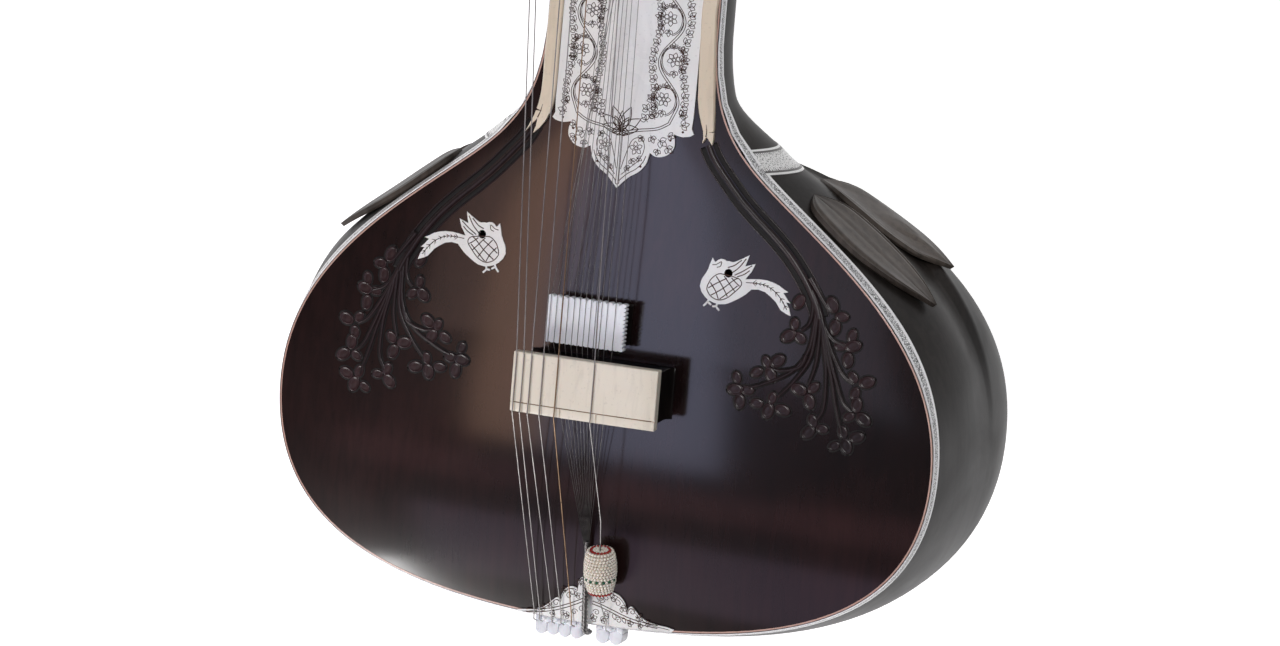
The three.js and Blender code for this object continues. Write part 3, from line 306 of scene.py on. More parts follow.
def scale_range(tree, source, low, high):
    inputs = {"Value": source, "To Min": low, "To Max": high}
    return add_node(tree, "ShaderNodeMapRange", inputs).outputs["Result"]


def new_finish(name, slot, **sockets):
    """A material with its Principled sockets set; underscores stand for spaces."""
    material = bpy.data.materials.new(name)
    material.use_nodes = True
    shader = material.node_tree.nodes["Principled BSDF"]
    for key, value in sockets.items():
        shader.inputs[key.replace("_", " ")].default_value = value
    return material, material.node_tree, shader


def noise_group(name, noises):
    """A node group that puts out noises, each as (output, stretch, turn, settings)."""
    group = bpy.data.node_groups.new(name, "ShaderNodeTree")
    group.interface.new_socket(name="Place", in_out="INPUT", socket_type="NodeSocketVector")
    for output, *_ in noises:
        group.interface.new_socket(name=output, in_out="OUTPUT", socket_type="NodeSocketFloat")
    place, results = group.nodes.new("NodeGroupInput"), group.nodes.new("NodeGroupOutput")
    for output, stretch, turn, settings in noises:
        inputs = {"Vector": place.outputs["Place"], "Scale": stretch, "Rotation": turn}
        fit = add_node(group, "ShaderNodeMapping", inputs)
        inputs = {"Vector": fit.outputs["Vector"], **settings}
        noise = add_node(group, "ShaderNodeTexNoise", inputs)
        group.links.new(noise.outputs["Fac"], results.inputs[output])
    print(name, "puts out", [output for output, *_ in noises])
    return group


def use_group(tree, group, stretch=(1, 1, 1)):
    """Places a group in a material, fed by object coordinates in metres."""
    place = add_node(tree, "ShaderNodeTexCoord").outputs["Object"]
    fit = add_node(tree, "ShaderNodeMapping", {"Vector": place, "Scale": stretch})
    return add_node(tree, "ShaderNodeGroup", {"Place": fit.outputs["Vector"]}, node_tree=group)


def feed(tree, shader, colour, rough, height, strength, distance):
    """Feeds a shader its colour, its roughness and a bump from a height."""
    inputs = {"Height": height, "Strength": strength, "Distance": distance}
    normal = add_node(tree, "ShaderNodeBump", inputs).outputs["Normal"]
    for name, socket in (("Base Color", colour), ("Roughness", rough), ("Normal", normal)):
        tree.links.new(socket, shader.inputs[name])


# %% The figure of wood and the handling marks
plain, unturned = (1, 1, 1), (0, 0, 0)
wood_figure = noise_group("wood_figure", [
    ("Fibre", (260, 14, 260), unturned, {"Scale": 1.0, "Detail": 6.0, "Distortion": 0.6}),
    ("Cloud", plain, unturned, {"Scale": 7.0, "Detail": 4.0, "Distortion": 1.2}),
    ("Pore", (900, 60, 900), unturned, {"Scale": 1.0, "Detail": 2.0}),
])
handling = noise_group("handling_marks", [
    ("Smudge", plain, unturned, {"Scale": 22.0, "Detail": 5.0, "Distortion": 0.8}),
    ("Rub", (30, 420, 120), (0.3, 0.2, 0.7), {"Scale": 1.0, "Detail": 3.0}),
    ("Speck", plain, unturned, {"Scale": 700.0, "Detail": 1.0}),
])

# %% [markdown]
# The soundboard, gourd, neck and carvings are the same dark stained wood under a thick polish.
# They differ in hue and in how much brown shows, so one recipe makes them all; the leaves are
# the gourd's wood made lighter, as painted light where they stand proud. The polish is the
# shader's coat: a clear layer with its own sharp reflection over a softer one.

# %% Polished woods
def polished_wood(name, slot, dark, warm, roughness, coat, wave, skin=0.11, gloss=0.12):
    """Dark wood under polish: warm shows through in clouds, fibres stay faint."""
    material, tree, shader = new_finish(
        name, slot, Coat_Weight=coat, Coat_Roughness=skin, Coat_IOR=1.5, Specular_IOR_Level=gloss
    )
    figure = use_group(tree, wood_figure)
    marks = use_group(tree, handling)
    clouds = ramp(tree, [(0.38, 0.0), (0.68, 1.0)], figure.outputs["Cloud"])
    body = mix_colours(tree, clouds, dark, warm)
    lines = ramp(tree, [(0.35, 0.62), (0.62, 1.15)], figure.outputs["Fibre"])
    grained = mix_colours(tree, 0.75, body, lines, "MULTIPLY")
    pores = ramp(tree, [(0.3, 0.55), (0.42, 1.0)], figure.outputs["Pore"])
    coloured = mix_colours(tree, 0.5, grained, pores, "MULTIPLY")
    rough = scale_range(tree, marks.outputs["Smudge"], roughness * 0.75, roughness * 1.45)
    feed(tree, shader, coloured, rough, figure.outputs["Cloud"], wave, 0.004)
    return material


board_wood, gourd_wood, carved_wood, bridge_wood, petal_wood, lit_leaf_wood, peg_wood = [
    polished_wood(*recipe) for recipe in (
        ("board_wood", "face_wood", (0.0062, 0.0021, 0.0020), (0.0175, 0.0055, 0.0052), 0.3,
         1.0, 0.1),
        ("gourd_wood", "gourd_wood", (0.0115, 0.0095, 0.0088), (0.023, 0.0185, 0.016), 0.45, 0.08,
         0.14, 0.2, 0.08),
        ("carved_wood", "carved_wood", (0.012, 0.0070, 0.0078), (0.028, 0.0150, 0.0165), 0.4, 0.4,
         0.1, 0.28, 0.15),
        ("bridge_wood", "carved_wood", (0.006, 0.0045, 0.0042), (0.016, 0.010, 0.008), 0.38,
         0.25, 0.1),
        ("petal_wood", "carved_wood", (0.014, 0.0075, 0.0085), (0.046, 0.020, 0.022), 0.4, 0.35,
         0.1, 0.26, 0.15),
        # painted light: the leaves are the gourd's wood made about three times lighter, for the
        # light that the raised leaves catch
        ("lit_leaf_wood", "carved_wood", (0.036, 0.028, 0.023), (0.085, 0.068, 0.056), 0.5, 0.25,
         0.1, 0.3, 0.2),
        ("peg_wood", "carved_wood", (0.012, 0.0062, 0.005), (0.034, 0.016, 0.010), 0.24, 0.8, 0.1),
    )
]

# %% [markdown]
# Bone and the white plates are pale, but not flat: bone has faint growth streaks and tiny
# dark pores, the plates have a slow pearly change and rubbed dirt. The engraved lines are
# filled with a brown paint that looks slightly worn.

# %% Pale finishes
def pale_finish(name, slot, light, shade, roughness, streaks=plain, coat=0.2):
    material, tree, shader = new_finish(
        name, slot, Coat_Weight=coat, Coat_Roughness=0.2, Subsurface_Weight=0.06,
        Subsurface_Scale=0.002
    )
    figure = use_group(tree, wood_figure, streaks)
    marks = use_group(tree, handling)
    clouds = ramp(tree, [(0.3, 0.0), (0.7, 1.0)], figure.outputs["Cloud"])
    tone = mix_colours(tree, clouds, light, shade)
    veins = ramp(tree, [(0.28, 0.86), (0.5, 1.0)], figure.outputs["Fibre"])
    veined = mix_colours(tree, 0.8, tone, veins, "MULTIPLY")
    dirt = ramp(tree, [(0.26, 0.8), (0.36, 1.0)], marks.outputs["Speck"])
    tone = mix_colours(tree, 0.5, veined, dirt, "MULTIPLY")
    rough = scale_range(tree, marks.outputs["Smudge"], roughness * 0.7, roughness * 1.4)
    feed(tree, shader, tone, rough, figure.outputs["Fibre"], 0.08, 0.0004)
    return material


bridge_bone = pale_finish("bridge_bone", "bone", (0.83, 0.77, 0.66), (0.74, 0.67, 0.56), 0.34)
taraf_bone = pale_finish("taraf_bone", "bone", (0.88, 0.90, 0.95), (0.82, 0.84, 0.90), 0.36)
white_bone = pale_finish("white_bone", "bone", (0.87, 0.86, 0.84), (0.8, 0.79, 0.77), 0.36)
plate_white = pale_finish(
    "plate_white", "engraved_plate", (0.86, 0.855, 0.85), (0.8, 0.79, 0.78), 0.24, (0.4, 0.4, 0.4),
    0.5
)
binding_cream = pale_finish(
    "binding_cream", "bone", (0.80, 0.70, 0.56), (0.71, 0.60, 0.46), 0.3, (1, 0.5, 1), 0.5
)
edge_cream = pale_finish(
    "edge_cream", "bone", (0.62, 0.40, 0.33), (0.5, 0.3, 0.25), 0.3, plain, 0.5
)
bead_ivory = pale_finish(
    "bead_ivory", "bead", (0.93, 0.88, 0.79), (0.86, 0.79, 0.69), 0.22, (3, 3, 3), 0.7
)

# %% Paint in the engraving
def worn_finish(name, slot, fresh, worn, roughness, spread, stretch, bumps, depth, **sockets):
    """A plain colour that smudges into a worn one, with fine rubbed lines or specks."""
    material, tree, shader = new_finish(name, slot, **sockets)
    marks = use_group(tree, handling, stretch).outputs
    smudged = ramp(tree, [(0.35, 0.0), (0.65 if bumps == "Rub" else 0.7, 1.0)], marks["Smudge"])
    rough = scale_range(tree, marks["Rub"], roughness * spread[0], roughness * spread[1])
    tone = mix_colours(tree, smudged, fresh, worn)
    feed(tree, shader, tone, rough, marks[bumps], depth, 0.0002)
    return material


def paint_finish(name, slot, thick, thin, roughness=0.5):
    spread, stretch = (0.8, 1.2), (3, 3, 3)
    return worn_finish(
        name, slot, thick, thin, roughness, spread, stretch, "Speck", 0.15, Specular_IOR_Level=0.3
    )


line_paint = paint_finish(
    "line_paint", "engraved_plate", (0.030, 0.013, 0.009), (0.075, 0.035, 0.023)
)
pin_paint = paint_finish("pin_paint", "engraved_plate", (0.05, 0.018, 0.012), (0.10, 0.04, 0.025))
bead_red = paint_finish("bead_red", "bead", (0.33, 0.02, 0.018), (0.42, 0.05, 0.04), 0.25)
bead_green = paint_finish("bead_green", "bead", (0.02, 0.09, 0.045), (0.04, 0.15, 0.08), 0.25)
# painted shade: a near-black paint for flat strips laid along the grooves of the carving, where
# shade falls
groove_shade_paint = paint_finish(
    "groove_shade_paint", "carved_wood", (0.0035, 0.0028, 0.0028), (0.008, 0.006, 0.006), 0.6
)
string_line_brown = paint_finish("string_line_brown", "bone", (0.16, 0.095, 0.055), (0.30, 0.20, 0.13), 0.5)
bead_thread = paint_finish("bead_thread", "bead", (0.50, 0.40, 0.32), (0.62, 0.52, 0.42), 0.6)
tie_thread = paint_finish(
    "tie_thread", "fret_metal", (0.02, 0.018, 0.016), (0.06, 0.05, 0.04), 0.6
)

# %% [markdown]
# Metal wire is never evenly bright: drawn steel has fine lines along it and a little tarnish,
# bronze is darker and redder in places, and the frets are worn brighter in places.

# %% Metals
def metal_finish(name, slot, bright, dull, roughness):
    spread = (0.6, 1.5)
    return worn_finish(
        name, slot, bright, dull, roughness, spread, plain, "Rub", 0.08, Metallic=1.0
    )


steel = metal_finish("steel", "steel_wire", (0.34, 0.33, 0.32), (0.20, 0.19, 0.19), 0.42)
bronze = metal_finish("bronze", "bronze_wire", (0.30, 0.20, 0.125), (0.19, 0.125, 0.08), 0.44)
brass = metal_finish("brass", "fret_metal", (0.72, 0.60, 0.38), (0.52, 0.42, 0.26), 0.26)
print("finishes made:", len(bpy.data.materials))

# %% [markdown]
# The object stands out on plain white. The floor is white to the camera and to reflections,
# and it still takes the object's soft shadow, because the light that really falls on it is
# added to the white. A large key panel on the lower left throws the bridges' shadows to the
# upper right, and a second one on the upper right softens them. The weaker panels overhead
# are what the polish shows: a cool window, a warm one beside it and a dim red one below.

# %% Floor and world
floor_size = 14.0
bpy.ops.mesh.primitive_plane_add(size=floor_size, location=(0, 0.4, 0))
floor = bpy.context.object
floor.name = "studio_floor"
floor.data.transform(Matrix.Translation(floor.location))
floor.location = (0, 0, 0)
floor_white, tree, shader = new_finish("floor_white", None, Specular_IOR_Level=0.1)
shader.inputs["Base Color"].default_value = (0.82, 0.82, 0.82, 1)
paper = add_node(tree, "ShaderNodeTexNoise", {"Scale": 60.0, "Detail": 3.0})
tree.links.new(scale_range(tree, paper.outputs["Fac"], 0.85, 0.95), shader.inputs["Roughness"])
rays = add_node(tree, "ShaderNodeLightPath").outputs
looks = maths(tree, "MAXIMUM", rays["Is Camera Ray"], rays["Is Glossy Ray"])
looks = maths(tree, "MAXIMUM", looks, rays["Is Transmission Ray"])
glow = add_node(tree, "ShaderNodeEmission", {"Color": (1, 1, 1, 1), "Strength": 0.82})
dark = add_node(tree, "ShaderNodeEmission", {"Color": (0, 0, 0, 1), "Strength": 0.0})
inputs = {0: looks, 1: dark.outputs[0], 2: glow.outputs[0]}
lift = add_node(tree, "ShaderNodeMixShader", inputs)
inputs = {0: shader.outputs[0], 1: lift.outputs[0]}
both = add_node(tree, "ShaderNodeAddShader", inputs)
tree.links.new(both.outputs[0], tree.nodes["Material Output"].inputs["Surface"])
floor.data.materials.append(floor_white)
select_only(floor)
bpy.ops.object.select_all(action="DESELECT")

world = bpy.data.worlds.new("studio")
scene.world = world
world.use_nodes = True
backdrop = world.node_tree.nodes["Background"]
backdrop.inputs["Color"].default_value = (0.93, 0.95, 1.0, 1)
backdrop.inputs["Strength"].default_value = 0.06

# %% Panels of light
def panel(name, place, size, radiance, colour=(1, 1, 1), aim=None):
    """A soft rectangular lamp on the instrument's axes; without an aim it faces straight down."""
    lamp = bpy.data.lights.new(name, "AREA")
    lamp.shape = "RECTANGLE"
    lamp.size, lamp.size_y = size[0] * MM, size[1] * MM
    lamp.energy = radiance * math.pi * lamp.size * lamp.size_y
    lamp.color = colour
    stand = bpy.data.objects.new(name, lamp)
    scene.collection.objects.link(stand)
    here = Vector(place)
    back = (here - Vector(aim or (place[0], place[1], 0))).normalized()
    aside = Vector((0, 1, 0)).cross(back).normalized()
    turn = Matrix((aside, back.cross(aside), back)).transposed().to_4x4()
    stand.matrix_world = Matrix.Translation(lay_down @ here) @ lay_turn @ turn


panel("key_panel", (-1900, -2300, 2100), (1100, 1100), 21.0, (1.0, 0.99, 0.98), (0, 0, 0))
panel("top_panel", (900, 950, 2200), (800, 800), 14.0, (1.0, 0.99, 0.99), (0, 0, 0))
panel("cool_panel", (-580, -40, 2000), (390, 860), 2.3, (0.68, 0.71, 1.0))
panel("cool_side", (-285, 50, 2000), (200, 600), 1.1, (0.72, 0.73, 1.0))
panel("dim_panel", (-55, 50, 2000), (260, 600), 0.6, (0.78, 0.78, 1.0))
panel("warm_panel", (-882, -40, 2000), (196, 860), 2.45, (1.0, 0.58, 0.40))
panel("amber_panel", (-1085, 40, 2000), (200, 640), 0.8, (1.0, 0.66, 0.56))
panel("rim_panel", (-600, -620, 2000), (1600, 140), 0.38, (1.0, 0.42, 0.46))
panel("low_panel", (-480, -1150, 2000), (1400, 560), 0.6, (0.9, 0.68, 0.98))

# %% [markdown]
# The measured model is faceted. The real shell is smooth, so it is drawn again from the same
# curves: three Bezier arcs for the outline of the face, a dome that runs out into the low
# camber of the neck, and a girth that swells and then closes at the back.

# %% Curves of the face
board_half = span("soundboard")[1][0]
board_low = -span("soundboard")[0][1]
shoulder_half, shoulder_at = 97.5, 116.0
shoulder_turn = np.array([-0.784, 0.621])
foot_half, foot_at = 44.8, 200.0
head_half, head_at = 41.0, span("neck")[1][1]
foot_camber = 3.2


def bezier(a, b, c, d, t):
    t = np.asarray(t, float)[:, None]
    return (1 - t) ** 3 * a + 3 * (1 - t) ** 2 * t * b + 3 * (1 - t) * t**2 * c + t**3 * d


def smooth(value, low, high):
    share = np.clip((np.asarray(value, float) - low) / (high - low), 0, 1)
    return share * share * (3 - 2 * share)


shoulder = np.array([shoulder_half, shoulder_at])
flare_run = foot_at - shoulder_at
tail_points = [
    (0, -board_low), (board_half * 0.72, -board_low), (board_half, -board_low * 0.64),
    (board_half, 0)
]
flank_points = [
    (board_half, 0), (board_half, shoulder_at * 0.47),
    shoulder - shoulder_turn * shoulder_at * 0.38, shoulder
]
flare_points = [
    shoulder, shoulder + shoulder_turn * flare_run * 0.48,
    (foot_half + flare_run * 0.02, foot_at - flare_run * 0.56), (foot_half, foot_at),
]
tail_arc, flank_arc, flare_arc = [
    lambda t, arc=arc: bezier(*np.array(arc, float), t)
    for arc in (tail_points, flank_points, flare_points)
]
fine = np.linspace(0, 1, 400)
outline_dense = np.vstack([tail_arc(fine), flank_arc(fine)[1:], flare_arc(fine)[1:]])


def half_width(y):
    """Half-width of the face at a height, from the tail to the head."""
    y = np.asarray(y, float)
    neck = foot_half + (head_half - foot_half) * (y - foot_at) / (head_at - foot_at)
    return np.where(y > foot_at, neck, np.interp(y, outline_dense[:, 1], outline_dense[:, 0]))


def face_height(x, y):
    """Height of the polished face: a dome over the gourd, a low camber on the neck."""
    x, y = np.asarray(x, float), np.asarray(y, float)
    low_crown = board_dome * np.clip(1 - (np.clip(-y, 0, None) / board_low) ** 2.5, 0, 1)
    high_crown = board_dome + (foot_camber - board_dome) * smooth(y, shoulder_at / 3, board_joint)
    crown = np.where(y < 0, low_crown, high_crown)
    across = np.clip(np.abs(x) / np.maximum(half_width(y), 1e-6), 0, 1)
    return crown * (1 - across**2.2)


print("face height at the middle:", face_height(0, 0), "foot half-width:", half_width(foot_at))

# %% Curves of the shell
gourd_half, gourd_depth, girth_depth = 181.0, 248.0, 96.0
gourd_bulge = 14.0
heel_depth, heel_swell = 84.0, 14.0
neck_depth, head_depth, neck_swell = 58.0, 52.0, 1.5
heel_end = 172.0
under_board = board_thickness + 0.35
section_power, closing_power, heel_power = 2.6, 2.05, 2.2
pole_at = -4.0
heel_half = float(half_width(board_joint))
back_line = bezier(
    *np.array([
        (board_joint, heel_depth), (board_joint * 0.86, heel_depth + gourd_depth * 0.16),
        (board_joint * 0.72, gourd_depth), (pole_at, gourd_depth)
    ]), fine
)


def section_share(share, swell=0.0):
    inside = np.clip(1 - np.asarray(share, float) ** section_power, 0, None)
    return (1 + swell * np.sin(np.pi * share)) * inside ** (1 / section_power)


def shell_ring(depth, lower, upper):
    """Right half of the shell at one depth, from the tail's middle to the heel's middle."""
    deep = np.clip((depth - girth_depth) / (gourd_depth - girth_depth), 0, 1)
    closing = (1 - deep**closing_power) ** (1 / closing_power)
    above = max(0.0, girth_depth - depth) / girth_depth
    tail = board_low + gourd_bulge * (1 - above**2)
    if depth < girth_depth:
        half, low = gourd_half - (gourd_half - board_half) * above**2, -tail
    else:
        half, low = gourd_half * closing, pole_at - (tail + pole_at) * closing
    heel_share = min(1.0, depth / heel_depth)
    side = heel_half * (1 + heel_swell / heel_half * math.sin(math.pi * heel_share))
    rounding = 1 - float(section_share(heel_share))
    top = board_joint
    if depth > heel_depth:
        top = np.interp(depth, back_line[:, 1], back_line[:, 0])
    scale = half / board_half
    turn = lower * np.pi / 2
    arc = tail_arc(lower)
    mix = 0.7 * smooth(depth, 0, gourd_depth)
    low_x = arc[:, 0] * scale * (1 - mix) + half * np.sin(turn) * mix
    low_y = arc[:, 1] / -board_low * low * (1 - mix) + low * np.cos(turn) * mix
    flank_part = 2 / 3
    flank = flank_arc(np.clip(upper / flank_part, 0, 1))
    on_heel = np.clip((upper - flank_part) / (1 - flank_part), 0, 1)
    rise = shoulder_at + (board_joint - shoulder_at) * on_heel
    heel_side = np.stack([half_width(rise), rise], axis=1)
    spot = np.where((upper > flank_part)[:, None], heel_side, flank)
    turn = upper * np.pi / 2
    swell = smooth(upper, 0, 0.4) * (side - heel_half * scale)
    round_x = half * np.cos(turn).clip(0) ** (2 / heel_power)
    round_y = top * np.sin(turn) ** (2 / heel_power)
    high_x = (spot[:, 0] * scale + swell) * (1 - rounding) + round_x * rounding
    high_y = spot[:, 1] / board_joint * top * (1 - rounding) + round_y * rounding
    return np.concatenate([low_x, high_x[1:]]), np.concatenate([low_y, high_y[1:]])


def neck_side(y, depth_share):
    """Half-width and depth of the neck at a height, for shares of its depth."""
    y = np.asarray(y, float)
    straight = smooth(y, board_joint, heel_end)
    flared = heel_depth + (neck_depth - heel_depth) * straight
    beam = neck_depth + (head_depth - neck_depth) * (y - foot_at) / (head_at - foot_at)
    depth = np.where(y < foot_at, flared, beam)
    swell = heel_swell / heel_half * (1 - straight) + neck_swell / foot_half * straight
    return half_width(y) * section_share(depth_share, swell), depth * depth_share


print("heel half-width", heel_half, "gourd box", span("gourd"))

# %% [markdown]
# Gourd and heel are one closed skin to the eye, so one grid makes both. Rings at many depths
# are joined into quads, the pole closes with a fan, and the back is pressed flat where the
# instrument rests, as a real gourd is flattened a little to stand on.

# %% Gourd and heel
def press_on_floor(points):
    """Lifts what would sink below the floor that the instrument rests on."""
    lifted = []
    for point in points:
        resting = lay_down @ Vector(point)
        resting.z = max(0.0, resting.z)
        lifted.append(lay_down.inverted() @ resting)
    return lifted


lower_steps = np.linspace(0, 1, 36)
upper_steps = np.linspace(0, 1, 52)
even_depth = 92.0
deeper = np.sin(np.linspace(0, 1, 46)[1:-1] * np.pi / 2)
depth_steps = np.concatenate([
    np.linspace(under_board, even_depth, 34), even_depth + (gourd_depth - even_depth) * deeper
])
shell_points = []
for depth in depth_steps:
    right_x, right_y = shell_ring(float(depth), lower_steps, upper_steps)
    across = np.concatenate([right_x, -right_x[1:][::-1]])
    along = np.concatenate([right_y, right_y[1:][::-1]])
    if right_x[-1] < 0.01:
        across[len(right_x)] = across[len(right_x) - 1] - 0.01
    shell_points += [(x, y, -depth) for x, y in zip(across, along)]
ring_length = len(shell_points) // len(depth_steps)
shell_faces = rings_to_faces(len(depth_steps), ring_length)
shell_points.append((0, pole_at, -gourd_depth))
last_ring = (len(depth_steps) - 1) * ring_length
shell_faces += [
    (last_ring + i, last_ring + (i + 1) % ring_length, len(shell_points) - 1)
    for i in range(ring_length)
]
shell = mesh_piece("gourd_shell", press_on_floor(shell_points), shell_faces, closed=False)
turn_outwards(shell, merge=0.02)
settle(shell, gourd_wood, stands_for=("gourd", "heel"))
print("gourd faces:", len(shell.data.polygons))

# %% [markdown]
# The neck is a long beam with a round back. Its sections are lofted from the heel to the
# head, closer together where the heel flares.

# %% Neck
even_from = 260
neck_heights = np.concatenate([
    np.linspace(board_joint, even_from, 44), np.linspace(even_from, head_at, 36)[1:]
])
depth_shares = np.sin(np.linspace(math.asin(under_board / neck_depth), math.pi / 2, 30))
neck_rings = []
for y in neck_heights:
    shares = depth_shares.copy()
    shares[0] = under_board / float(neck_side(y, 1.0)[1])
    widths, depths = neck_side(y, shares)
    right = [(x, y, -z) for x, z in zip(widths, depths)]
    neck_rings.append(right + [(-x, y, z) for x, _, z in reversed(right[:-1])])
neck_points, neck_faces = [], []
add_loft(neck_points, neck_faces, neck_rings)
neck = mesh_piece("neck_beam", press_on_floor(neck_points), neck_faces)
settle(neck, gourd_wood, stands_for=("neck",), angle=40)
print("neck faces:", len(neck.data.polygons))

# %% [markdown]
# The face of the gourd and the face of the neck are one polished surface. A grid follows the
# outline: each row of it runs across the whole width at one height, so the dome and the
# camber come from the same formula, and the edge drops square to the shell below it.

# %% Polished face
face_heights = np.concatenate([
    -board_low * np.cos(np.linspace(0.02, math.pi / 2, 44)),
    np.linspace(0, board_joint, 60)[1:], np.linspace(board_joint, even_from, 30)[1:],
    np.linspace(even_from, head_at, 50)[1:],
])
across_shares = np.sin(np.linspace(-math.pi / 2, math.pi / 2, 61))
face_points = []
for y in face_heights:
    x = across_shares * float(half_width(y))
    face_points += [(a, y, h) for a, h in zip(x, face_height(x, y))]
row_length = len(across_shares)
face_faces = rings_to_faces(len(face_heights), row_length, closed=False)
board = mesh_piece("polished_face", face_points, face_faces)
thicken(board, board_thickness)
apply_modifiers(board)
print("face faces:", len(board.data.polygons))

# %% [markdown]
# Two small holes let the sound out, one at the crown of each bird. They are bored with a
# boolean, and their edges stay crisp because only flat parts of the face are shaded smooth.

# %% Sound holes
bird_places = {"right": (1, (62.2, 88.0)), "left": (-1, (-68.7, 90.6))}
hole_radius = 2.2
for _, (hole_x, hole_at) in bird_places.values():
    bpy.ops.mesh.primitive_cylinder_add(
        vertices=32, radius=hole_radius, depth=40, location=(hole_x, hole_at, 0)
    )
    cut_with(board, bpy.context.object)
settle(board, board_wood, stands_for=("soundboard",), angle=30)
print("face with holes:", len(board.data.polygons))

# %% [markdown]
# Everything carved or inlaid on the face follows its dome. Three helpers do that. One draws a
# smooth line through a few points, one sweeps a section along such lines, and one cuts a thin
# plate to an outline. All of them take their height from the formula of the face.

# %% Helpers for work on the face
def through(points, steps=6):
    """A smooth line through the points, with this many steps between two of them."""
    p = np.array(points, float)
    p = np.vstack([2 * p[0] - p[1], p, 2 * p[-1] - p[-2]])
    t = np.linspace(0, 1, steps, endpoint=False)[:, None]
    line = []
    for a, b, c, d in zip(p[:-3], p[1:-2], p[2:-1], p[3:]):
        bend, twist = 2 * a - 5 * b + 4 * c - d, 3 * b - a - 3 * c + d
        line.append(0.5 * (2 * b + (c - a) * t + bend * t**2 + twist * t**3))
    return np.vstack([*line, p[-2:-1]])


def sweep_on_face(name, strokes, section, finish, lift=0.0, rising=False, **rest):
    """Sweeps a section along lines on the face; rising ties its height to the line's width.

    A stroke is (points, half-widths). The section lists (share of half-width, height) pairs.
    """
    points, faces = [], []
    for line, half in strokes:
        half = np.broadcast_to(np.asarray(half, float), len(line))
        rows = []
        for share, height in section:
            spot = line + right_of(line) * (half * share)[:, None]
            up = lift + height * (half if rising else 1.0)
            rows.append(np.column_stack([spot, face_height(spot[:, 0], spot[:, 1]) + up]))
        add_loft(points, faces, np.stack(rows, axis=1))
    settle(mesh_piece(name, points, faces), finish, **rest)


def plate_on_face(name, outline, low, high, finish, step=3.0, hole=None, **rest):
    """A thin plate cut to an outline and bent to the face, between two heights over it."""
    plan = bmesh.new()
    edges = []
    for loop in [outline] if hole is None else [outline, hole]:
        rim = [plan.verts.new((x, y, 0)) for x, y in loop]
        edges += [plan.edges.new((rim[i], rim[(i + 1) % len(rim)])) for i in range(len(rim))]
    bmesh.ops.triangle_fill(plan, use_beauty=True, edges=edges, normal=(0, 0, 1))
    for axis in (0, 1):
        places = [p[axis] for p in outline]
        for cut in np.arange(min(places) + step, max(places), step):
            across = Vector((1 - axis, axis, 0))
            everything = plan.verts[:] + plan.edges[:] + plan.faces[:]
            bmesh.ops.bisect_plane(
                plan, geom=everything, dist=0.001, plane_co=across * cut, plane_no=across
            )
    raised = bmesh.ops.extrude_face_region(plan, geom=plan.faces[:])
    tops = {v for v in raised["geom"] if isinstance(v, bmesh.types.BMVert)}
    for vert in plan.verts:
        vert.co.z = float(face_height(vert.co.x, vert.co.y)) + (high if vert in tops else low)
    bmesh.ops.recalc_face_normals(plan, faces=plan.faces[:])
    mesh = bpy.data.meshes.new(name)
    plan.to_mesh(mesh)
    plan.free()
    return settle(new_piece(name, mesh), finish, **rest)


flat_line = [(-1, -0.12), (-1, 0.05), (-0.5, 0.09), (0.5, 0.09), (1, 0.05), (1, -0.12)]
round_line = [
    (-1, -0.5), (-0.92, 0.15), (-0.6, 0.62), (0, 0.82), (0.6, 0.62), (0.92, 0.15), (1, -0.5)
]
print("sections:", len(flat_line), len(round_line))

# %% [markdown]
# Along both edges of the neck runs a raised cream binding. Over the gourd it bends outwards
# and tapers, and it ends in a split tip like a leaf cut down its middle. The bend is given by
# a few points of both edges, and higher up the binding follows the edge of the neck.

# %% Bindings of the neck
binding_height, binding_width, binding_inset = 2.2, 7.6, 0.5
binding_section = [
    (-1, -0.6), (-1, binding_height - 0.5), (-0.86, binding_height), (0.86, binding_height),
    (1, binding_height - 0.5), (1, -0.6),
]
inner_edges = {
    "right": [
        (156.0, 42.1), (160.0, 40.7), (165.0, 39.1), (171.2, 37.8), (186.0, 37.0), (201.9, 36.4),
        (216.6, 35.8)
    ],
    "left": [
        (156.0, 38.6), (160.0, 37.4), (165.0, 36.7), (172.0, 36.4), (181.4, 36.5), (197.3, 36.6),
        (212.3, 36.2)
    ],
}
outer_edges = {
    "right": [
        (156.0, 47.4), (160.0, 47.2), (165.0, 46.8), (173.2, 46.1), (188.0, 44.8), (206.6, 43.6),
        (217.4, 43.0)
    ],
    "left": [
        (156.0, 46.2), (160.0, 45.2), (165.0, 44.5), (173.4, 44.2), (180.0, 44.4), (196.0, 44.3),
        (211.5, 43.9)
    ],
}
binding_tips = {
    "right": [
        (42.1, 156), (42.5, 153.2), (42.3, 150.2), (43.7, 153.0), (44.3, 153.4), (45.8, 151.6),
        (47.2, 149.8), (47.5, 152.6), (47.4, 156)
    ],
    "left": [
        (38.6, 156), (40.4, 151.7), (43.4, 147.6), (46.6, 144.6), (45.4, 148.4), (44.9, 152.4),
        (47.6, 149.2), (51.0, 144.8), (49.2, 148.4), (46.9, 153.6), (46.2, 156)
    ],
}
binding_splits = {
    "right": [(43.7, 153.4), (43.9, 156.2), (43.3, 159.6)],
    "left": [(44.9, 152.6), (43.6, 156.0), (42.8, 159.6)]
}
binding_end, free_from, free_to = head_at - 12, 208, 232
heights = np.concatenate([np.linspace(156, 236, 26), np.linspace(236, binding_end, 40)[1:]])
free = half_width(heights) - binding_inset
share = smooth(heights, free_from, free_to)
